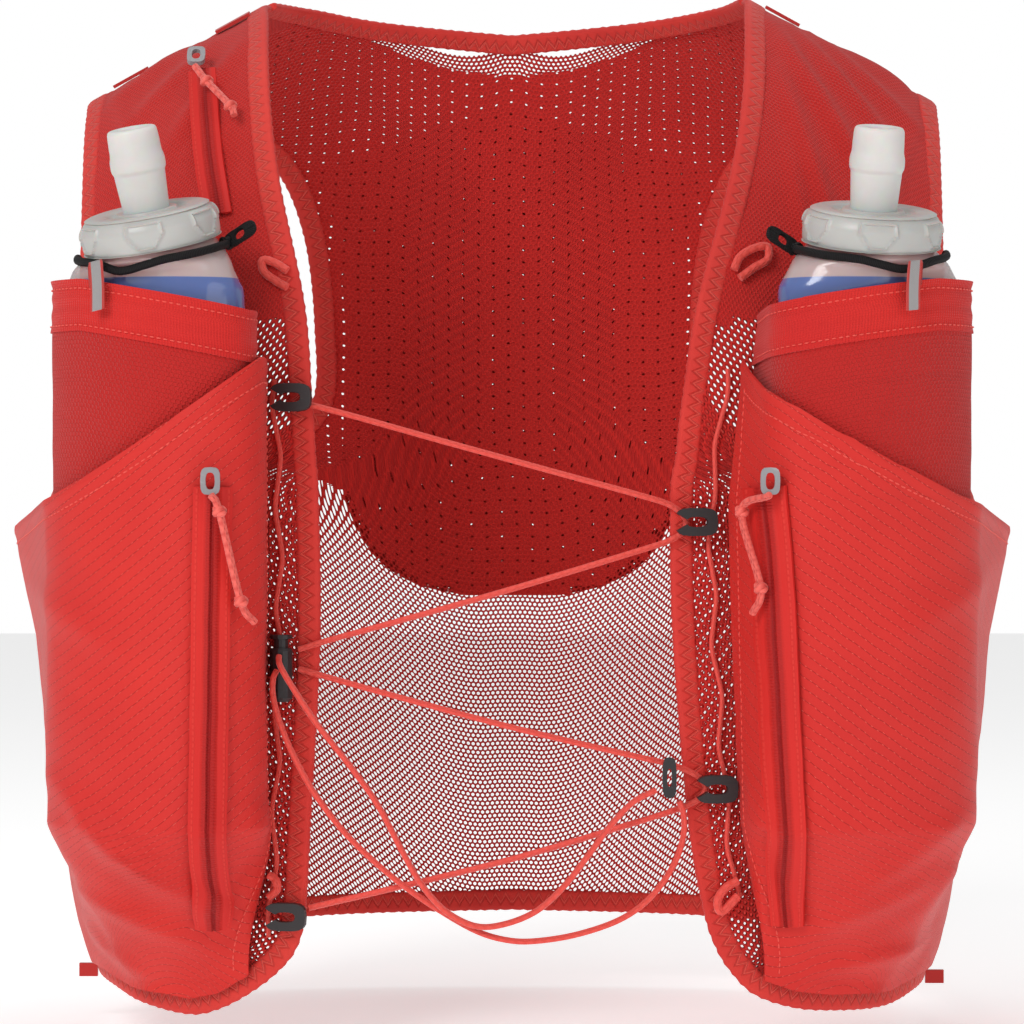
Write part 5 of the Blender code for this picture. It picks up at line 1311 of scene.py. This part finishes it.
def ringPlate(name, centre, lengthWay, faceWay, size, hole, thick, material):
    length = unit(np.array(lengthWay, float))
    face = np.array(faceWay, float)
    face = unit(face - length * face.dot(length))
    width = np.cross(face, length)
    rings = []
    steps, bevelShare = 40, 0.22
    side = 0.5 - bevelShare
    for k in range(steps):
        turn = 2 * pi * k / steps
        spots = []
        for (long, wide), power in ((size, 0.55), (hole, 0.8)):
            spots.append(length * np.sign(cos(turn)) * abs(cos(turn)) ** power * long / 2
                         + width * np.sign(sin(turn)) * abs(sin(turn)) ** power * wide / 2)
        outer, inner = spots
        inwards = unit(inner - outer)
        bevel = thick * bevelShare
        ring = []
        for spot, shift, rise in ((outer, bevel, 0.5), (outer, 0, side), (outer, 0, -side), (outer, bevel, -0.5),
                                  (inner, -bevel, -0.5), (inner, 0, -side), (inner, 0, side), (inner, -bevel, 0.5)):
            ring.append(centre + spot + inwards * shift + face * rise * thick)
        rings.append(ring)
    made = addRings(name, rings, material, closed=True)
    made.data.set_sharp_from_angle(angle=radians(40))
    return made


def ballKnot(name, centre, radius, material):
    turns = np.linspace(0, 2 * pi, 90, endpoint=False)
    strand = radius * 0.42
    reach = radius - strand
    lobes = 1 + 0.30 * np.cos(3 * turns)
    path = np.stack([np.cos(2 * turns) * lobes, np.sin(2 * turns) * lobes, 0.8 * np.sin(3 * turns)], -1)
    path = path * reach / 1.25 + np.array(centre, float)
    return tube(name, path, strand, material, 9, closed=True)


def buildTapeLoops(finishes):
    for side in bothSides:
        name = sideName[side]
        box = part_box(name + "_tape_loop")
        x = (abs(box[0].x) + abs(box[1].x)) / 2
        width, high, low = 0.0050, box[1].z + 0.0060, box[0].z
        y = box[0].y - 0.0004
        path = evened(((x, y + 0.0005, low), (x, y - 0.0002, (low + high) / 2), (x + 0.0006, y + 0.0006, high - 0.0008),
                       (x + 0.0008, y + 0.0020, high), (x + 0.0010, y + 0.0034, high - 0.0012),
                       (x + 0.0006, y + 0.0030, (low + high) / 2)), 0.0008)
        lean = np.array((1.0, 0.35, 0.12)) if side == left else np.array((1.0, 0.30, -0.25))
        across = unit(lean) * width / 2
        out = unit(np.cross(tangents(path), across))
        strip = np.stack([path + across * t for t in np.linspace(-1, 1, 9)], 1)
        inner = strip + out[:, None] * 0.0007
        u = np.broadcast_to(clothReach(strip, 0), strip.shape[:2])
        v = np.broadcast_to(np.linspace(0, width, 9)[None], strip.shape[:2])
        made = addSheet(name + "_tape_loop_fold", strip, inner, side, finishes["tape"], np.stack([u, v], -1))
        finished(made, "grey_tape", name + "_tape_loop")


# Zips, cords and hardware

zipShape = dict(width=0.0125, chestWidth=0.0105, thick=0.0014, lift=0.0020)
# Share of the arm's half width, share of the drop
zipRows = {
    "right_zip": (right, ((0.646, 0.498), (0.652, 0.60), (0.657, 0.72), (0.662, 0.83), (0.664, 0.915))),
    "left_zip": (left, ((0.556, 0.498), (0.575, 0.60), (0.588, 0.72), (0.602, 0.83), (0.612, 0.915))),
    "chest_zip": (right, ((0.712, 0.085), (0.700, 0.130), (0.684, 0.180), (0.660, 0.235))),
}
# Steps from the top of the zip: towards the side, down
zipPulls = {
    "right_zip": ((-0.0030, 0.0085), (-0.0100, 0.0395), (-0.0145, 0.0470)),
    "left_zip": ((-0.0090, 0.0085), (-0.0030, 0.0350), (-0.0055, 0.0440)),
    "chest_zip": ((-0.0045, 0.0080), (-0.0135, 0.0175), (-0.0150, 0.0210)),
}
cordShape = dict(lace=0.0022, pole=0.0030, rail=0.0018, pull=0.0026, wave=0.0012, waveStep=0.009)


def zipSurface(name, side, x, z, lift):
    if name == "chest_zip":
        return frontPoint(x, z, lift)
    return onPocket(side, x, z, lift)


def ribbonOn(surface, path, width, columns):
    path = evened(path, 0.0016)
    way = tangents(path)
    across = np.stack([way[:, 1], -way[:, 0]], -1)
    grid = []
    for spot, lean in zip(path, across):
        grid.append([surface(*(spot + lean * width / 2 * t)) for t in np.linspace(-1, 1, columns)])
    grid = np.array(grid)
    out = gridNormals(grid)
    return grid, out * np.where(out[..., 1:2] > 0, -1, 1)


def buildZips(finishes):
    for name, (side, rows) in zipRows.items():
        path = [(share * torso["arm"], -down * torso["drop"]) for share, down in rows]
        width = zipShape["chestWidth"] if name == "chest_zip" else zipShape["width"]
        base, out = ribbonOn(lambda x, z: zipSurface(name, side, x, z, 0.0), path, width, 25)
        off = np.abs(np.linspace(-1, 1, 25))[None]
        ridge = 0.0004 * np.exp(-(off / 0.22) ** 2) - 0.0005 * np.exp(-(off / 0.05) ** 2)
        lift = zipShape["lift"] + 0.0006 - 0.0004 * off ** 4 + ridge + ripple(base, 0.0004, 60.0, 6.0)
        u = np.broadcast_to(clothReach(base, 0)[:, 12:13], base.shape[:2])
        v = np.broadcast_to(np.linspace(0, width, 25)[None], base.shape[:2])
        inner = base + out * (lift - zipShape["thick"])[..., None]
        made = addSheet(name + "_tape", base + out * lift[..., None], inner, side, finishes["zip"],
                        np.stack([u, v], -1))
        finished(made, "ripstop", name)
        buildPull(name, side, path[0], finishes)


def buildPull(name, side, top, finishes):
    top = np.array(top)
    start = np.array((top[0] - 0.0004, -0.0030 + top[1]))
    spots = [start] + [top + (x, -z) for x, z in zipPulls[name]]
    path = [zipSurface(name, side, x, z, lift) for (x, z), lift in zip(spots, (0.0078, 0.0066, 0.0060, 0.0058))]
    path = onSide(evened(path, 0.0012), side)
    strand = tube(name + "_pull_strand", path, cordShape["pull"] / 2, finishes["pull"], 12)
    knots = []
    for k, ((x, z), lift) in enumerate(zip(spots[1:3], (0.0066, 0.0060))):
        spot = onSide(zipSurface(name, side, x, z, lift), side)
        knots.append(ballKnot(name + "_pull_knot%d" % k, spot, 0.0026, finishes["pull"]))
    finished(joined(name + "_pull_cord", [strand, *knots]), "red_cord", name + "_pull")


# Share of the neck's half width, share of the drop, lift in millimetres
poleLoops = {
    "right_pole_loop_upper": (right, (
        (0.872, 0.291, 2.0), (0.925, 0.283, 2.2), (0.968, 0.281, 2.6), (0.962, 0.292, 2.4), (0.915, 0.301, 2.0),
        (0.872, 0.307, 2.0))),
    "left_pole_loop_upper": (left, (
        (0.862, 0.290, 2.0), (0.885, 0.278, 2.2), (0.935, 0.270, 2.6), (0.990, 0.268, 2.8), (0.992, 0.280, 2.6),
        (0.940, 0.288, 2.2), (0.885, 0.298, 2.0))),
    "right_pole_loop_lower": (right, (
        (0.935, 0.868, 4.6), (0.910, 0.872, 4.6), (0.903, 0.882, 4.6), (0.935, 0.890, 4.6))),
    "left_pole_loop_lower": (left, (
        (0.868, 0.873, 4.6), (0.820, 0.880, 4.6), (0.790, 0.892, 4.6), (0.805, 0.903, 4.6), (0.868, 0.888, 4.6))),
}
# The same routes as the solids of the cords
lacePaths = {
    "upper_lace": (
        (-.0745, -.1006, -.1552), (-.0690, -.1022, -.1566), (-.0520, -.1048, -.1612), (-.0200, -.1068, -.1702),
        (.0200, -.1072, -.1812), (.0450, -.1060, -.1880), (.0560, -.1040, -.1915), (.0612, -.1030, -.1960),
        (.0612, -.1030, -.2000), (.0560, -.1040, -.2040), (.0400, -.1064, -.2092), (.0000, -.1075, -.2212),
        (-.0400, -.1070, -.2325), (-.0640, -.1062, -.2392), (-.0758, -.1056, -.2428)),
    "lower_lace": (
        (-.0758, -.1056, -.2497), (-.0640, -.1060, -.2530), (-.0400, -.1062, -.2595), (.0000, -.1060, -.2702),
        (.0400, -.1042, -.2797), (.0550, -.1030, -.2832), (.0640, -.1012, -.2866), (.0685, -.1004, -.2905),
        (.0680, -.1004, -.2945), (.0620, -.1016, -.2982), (.0450, -.1042, -.3036), (.0000, -.1056, -.3168),
        (-.0450, -.1040, -.3280), (-.0660, -.0996, -.3334), (-.0722, -.0980, -.3350)),
    "draw_cord_front": (
        (-.0822, -.1102, -.2449), (-.0818, -.1128, -.2476), (-.0785, -.1142, -.2535), (-.0690, -.1142, -.2680),
        (-.0567, -.1136, -.2837), (-.0472, -.1132, -.2972), (-.0380, -.1128, -.3146), (-.0317, -.1126, -.3253),
        (-.0236, -.1122, -.3344), (-.0130, -.1120, -.3398), (-.0028, -.1120, -.3392), (.0085, -.1120, -.3346),
        (.0180, -.1120, -.3262), (.0261, -.1118, -.3160), (.0345, -.1114, -.3048), (.0426, -.1104, -.2964),
        (.0508, -.1086, -.2922)),
    "draw_cord_back": (
        (-.0830, -.1102, -.2500), (-.0842, -.1120, -.2530), (-.0840, -.1120, -.2600), (-.0805, -.1116, -.2718),
        (-.0750, -.1110, -.2838), (-.0690, -.1104, -.2942), (-.0595, -.1096, -.3066), (-.0493, -.1090, -.3168),
        (-.0380, -.1086, -.3262), (-.0257, -.1084, -.3346), (-.0130, -.1084, -.3418), (-.0028, -.1084, -.3450),
        (.0074, -.1084, -.3456), (.0229, -.1084, -.3432), (.0384, -.1084, -.3378), (.0490, -.1082, -.3300),
        (.0570, -.1074, -.3190), (.0606, -.1066, -.3086), (.0606, -.1066, -.3006), (.0590, -.1070, -.2962)),
}


def buildCords(finishes):
    for name, (side, rows) in poleLoops.items():
        path = [frontPoint(share * torso["neck"], -down * torso["drop"], lift / 1000) for share, down, lift in rows]
        made = tube(name + "_cord", onSide(evened(path, 0.0008), side), cordShape["pole"] / 2, finishes["cord"], 12)
        finished(made, "red_cord", name)

    for side, drops in ((right, (0.395, 0.930)), (left, (0.385, 0.890))):
        waves = round((drops[1] - drops[0]) * torso["drop"] / cordShape["waveStep"])
        path = []
        for k, z in enumerate(-np.linspace(*drops, waves + 1) * torso["drop"]):
            middle = (openingX(side, z) + bindingShape["width"] + 0.0003 + seamX(side, z)) / 2
            path.append(frontPoint(middle + cordShape["wave"] * sin(k * pi / 2), z, 0.0012))
        made = tube(sideName[side] + "_rail_braid", onSide(evened(path, 0.0014), side), cordShape["rail"] / 2,
                    finishes["cord"], 10)
        finished(made, "red_cord", sideName[side] + "_rail_cord")

    for name, rows in lacePaths.items():
        rows = np.array(rows)
        if name.endswith("lace"):
            on = frontPoint(np.abs(rows[:, 0]), rows[:, 2], 0.0022)[:, 1]
            rows[:, 1] = np.where(np.abs(rows[:, 0]) > 0.055, on, np.minimum(on, rows[:, 1]))
        path = evened(rows, 0.0016)
        made = tube(name + "_braid", path, cordShape["lace"] / 2, finishes["cord"], 10)
        finished(made, "red_cord", name)
        if name.startswith("draw"):
            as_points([tuple(p) for p in path[::3]] + [tuple(path[-1])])


def paintNodes(material, *names):
    for name in names:
        node = frame["nodes"][name]
        if not node.material_slots:
            node.data.materials.append(material)
        for holder in node.material_slots:
            holder.material = material


def dressHardware(finishes):
    paintNodes(finishes["plastic"], "hook_upper_right", "hook_upper_left", "hook_lower_left", "hook_lower_right",
               "cord_lock_barrel", "cord_lock_plunger", "cord_clip")
    paintNodes(finishes["slider"], "right_zip_slider", "left_zip_slider", "chest_zip_slider")
    paintNodes(finishes["trim"], *(sideName[side] + part for side in bothSides
                                   for part in ("_shoulder_keeper_inner", "_shoulder_keeper_outer", "_hem_loop")))


# Rows of stitches

def stitchGroup():
    group = bpy.data.node_groups.new("stitchRow", "GeometryNodeTree")
    for label, kind in (("Geometry", "Geometry"), ("Spacing", "Float"), ("Length", "Float"), ("Thickness", "Float"),
                        ("Material", "Material")):
        group.interface.new_socket(label, in_out="INPUT", socket_type="NodeSocket" + kind)
    group.interface.new_socket("Geometry", in_out="OUTPUT", socket_type="NodeSocketGeometry")
    inputs, output = group.nodes.new("NodeGroupInput"), group.nodes.new("NodeGroupOutput")
    resample = group.nodes.new("GeometryNodeResampleCurve")
    resample.mode = "LENGTH"
    tangent = group.nodes.new("GeometryNodeInputTangent")
    align = group.nodes.new("FunctionNodeAlignRotationToVector")
    size = group.nodes.new("ShaderNodeCombineXYZ")
    ball = group.nodes.new("GeometryNodeMeshUVSphere")
    ball.inputs["Segments"].default_value, ball.inputs["Rings"].default_value = 8, 6
    ball.inputs["Radius"].default_value = 0.5
    place = group.nodes.new("GeometryNodeInstanceOnPoints")
    realize = group.nodes.new("GeometryNodeRealizeInstances")
    shade = group.nodes.new("GeometryNodeSetShadeSmooth")
    colour = group.nodes.new("GeometryNodeSetMaterial")
    for start, end in ((inputs.outputs["Geometry"], resample.inputs["Curve"]),
                       (inputs.outputs["Spacing"], resample.inputs["Length"]),
                       (resample.outputs["Curve"], place.inputs["Points"]),
                       (tangent.outputs["Tangent"], align.inputs["Vector"]),
                       (align.outputs["Rotation"], place.inputs["Rotation"]),
                       (inputs.outputs["Thickness"], size.inputs["X"]), (inputs.outputs["Thickness"], size.inputs["Y"]),
                       (inputs.outputs["Length"], size.inputs["Z"]), (size.outputs[0], place.inputs["Scale"]),
                       (ball.outputs["Mesh"], place.inputs["Instance"]),
                       (place.outputs["Instances"], realize.inputs["Geometry"]),
                       (realize.outputs["Geometry"], shade.inputs["Geometry"]),
                       (shade.outputs["Geometry"], colour.inputs["Geometry"]),
                       (inputs.outputs["Material"], colour.inputs["Material"]),
                       (colour.outputs["Geometry"], output.inputs["Geometry"])):
        group.links.new(start, end)
    return group


def stitchRow(name, paths, group, material, spacing, length, thickness):
    curve = bpy.data.curves.new(name + "_path", "CURVE")
    curve.dimensions = "3D"
    for path in paths:
        spline = curve.splines.new("POLY")
        spline.points.add(len(path) - 1)
        for point, spot in zip(spline.points, path):
            point.co = (*spot, 1)
    guide = bpy.data.objects.new(name + "_path", curve)
    bpy.context.scene.collection.objects.link(guide)
    change = guide.modifiers.new("stitches", "NODES")
    change.node_group = group
    values = {"Spacing": spacing, "Length": length, "Thickness": thickness, "Material": material}
    for item in group.interface.items_tree:
        if item.in_out == "INPUT" and item.name in values:
            change[item.identifier] = values[item.name]
    shown = guide.evaluated_get(bpy.context.evaluated_depsgraph_get())
    mesh = bpy.data.meshes.new_from_object(shown)
    mesh.name = name
    bpy.data.objects.remove(guide)
    made = bpy.data.objects.new(name, mesh)
    bpy.context.scene.collection.objects.link(made)
    return finished(made, "red_binding")


def sheetLine(grid, out, lift, row=None, columnAt=None):
    points = grid + out * lift[..., None]
    return points[row] if row is not None else points[:, columnAt]


def buildStitches(finishes):
    group = stitchGroup()
    for side in bothSides:
        name = sideName[side]
        grid, out, base = surfaces[side]
        lift = base + pocket["wall"] + 0.0001
        rows = [sheetLine(grid, out, lift, row=5)[3:-3], sheetLine(grid, out, lift, columnAt=3)[5:-3]]
        paths = [onSide(row, side) for row in rows]
        stitchRow(name + "_pocket_seam_stitches", paths, group, finishes["thread"], 0.0026, 0.0019, 0.00055)
        grid, out, _ = wrappedGrid(side, flaskPocketLimits, 18, 90, bandHeights)
        lift = np.full(grid.shape[:2], flask["clearance"] + pocket["wall"] + 0.0004)
        rows = [sheetLine(grid, out, lift, row=3)[2:-2], sheetLine(grid, out, lift, row=15)[2:-2]]
        stitchRow(name + "_pocket_band_stitches", [onSide(row, side) for row in rows], group, finishes["thread"],
                  0.0024, 0.0016, 0.0005)


finishes = dict(
    ripstop=paintRipstop("ripstopCloth"),
    mesh=paintMesh("chestMesh", 0.0015, 0.26, openShare=0.0),
    stripMesh=paintMesh("stripMesh", 0.0024, 0.27),
    fineMesh=paintMesh("pocketMesh", 0.0017, 0.30, openShare=0.0, depth=0.85),
    backPocket=paintMesh("backPocketMesh", 0.0019, 0.24, pinholes=0.0042),
    backMesh=paintMesh("backMesh", 0.0021, 0.24, pinholes=0.0062),
    skirtMesh=paintMesh("openMesh", 0.0020, 0.33),
    knit=paintKnit("bandKnit"),
    binding=paintBinding("bindingTape", bindingShape["width"], bindingShape["stitch"]),
    cord=paintCord("braidedCord", (0.74, 0.060, 0.040), reds["cord"], cordShape["lace"]),
    pull=paintCord("pullCord", (0.62, 0.050, 0.040), (0.88, 0.14, 0.11), cordShape["pull"]),
    thread=paintCord("stitchThread", (0.74, 0.060, 0.045), reds["thread"], 0.0006),
    plastic=paintPlastic("blackPlastic", (0.012, 0.010, 0.011), (0.034, 0.030, 0.032), 0.34),
    slider=paintPlastic("sliderMetal", (0.20, 0.19, 0.20), (0.46, 0.44, 0.45), 0.24),
    trim=paintTape("keeperTape", (0.62, 0.030, 0.022), (0.50, 0.020, 0.016), 0.006),
    tape=paintTape("loopTape", (0.40, 0.38, 0.38), (0.62, 0.040, 0.030), 0.0050),
    cap=paintCap(), silicone=paintSilicone(), film=paintFilm(-0.1125, -0.1235), elastic=paintElastic(), zip=paintZip(),
)
print("materials made")

buildStudio()
buildFrontPanels(finishes["mesh"], finishes["stripMesh"])
buildBackPanel(finishes["backMesh"], finishes["skirtMesh"])
buildBackPocket(finishes["backPocket"])
buildBindings(finishes["binding"])
print("body cloth and bindings made")

buildPockets(finishes)
print("pockets made")

buildFlasks(finishes)
buildRetainers(finishes)
buildTapeLoops(finishes)
print("flasks made")

buildZips(finishes)
buildCords(finishes)
dressHardware(finishes)
buildStitches(finishes)
print("zips, cords and hardware made")
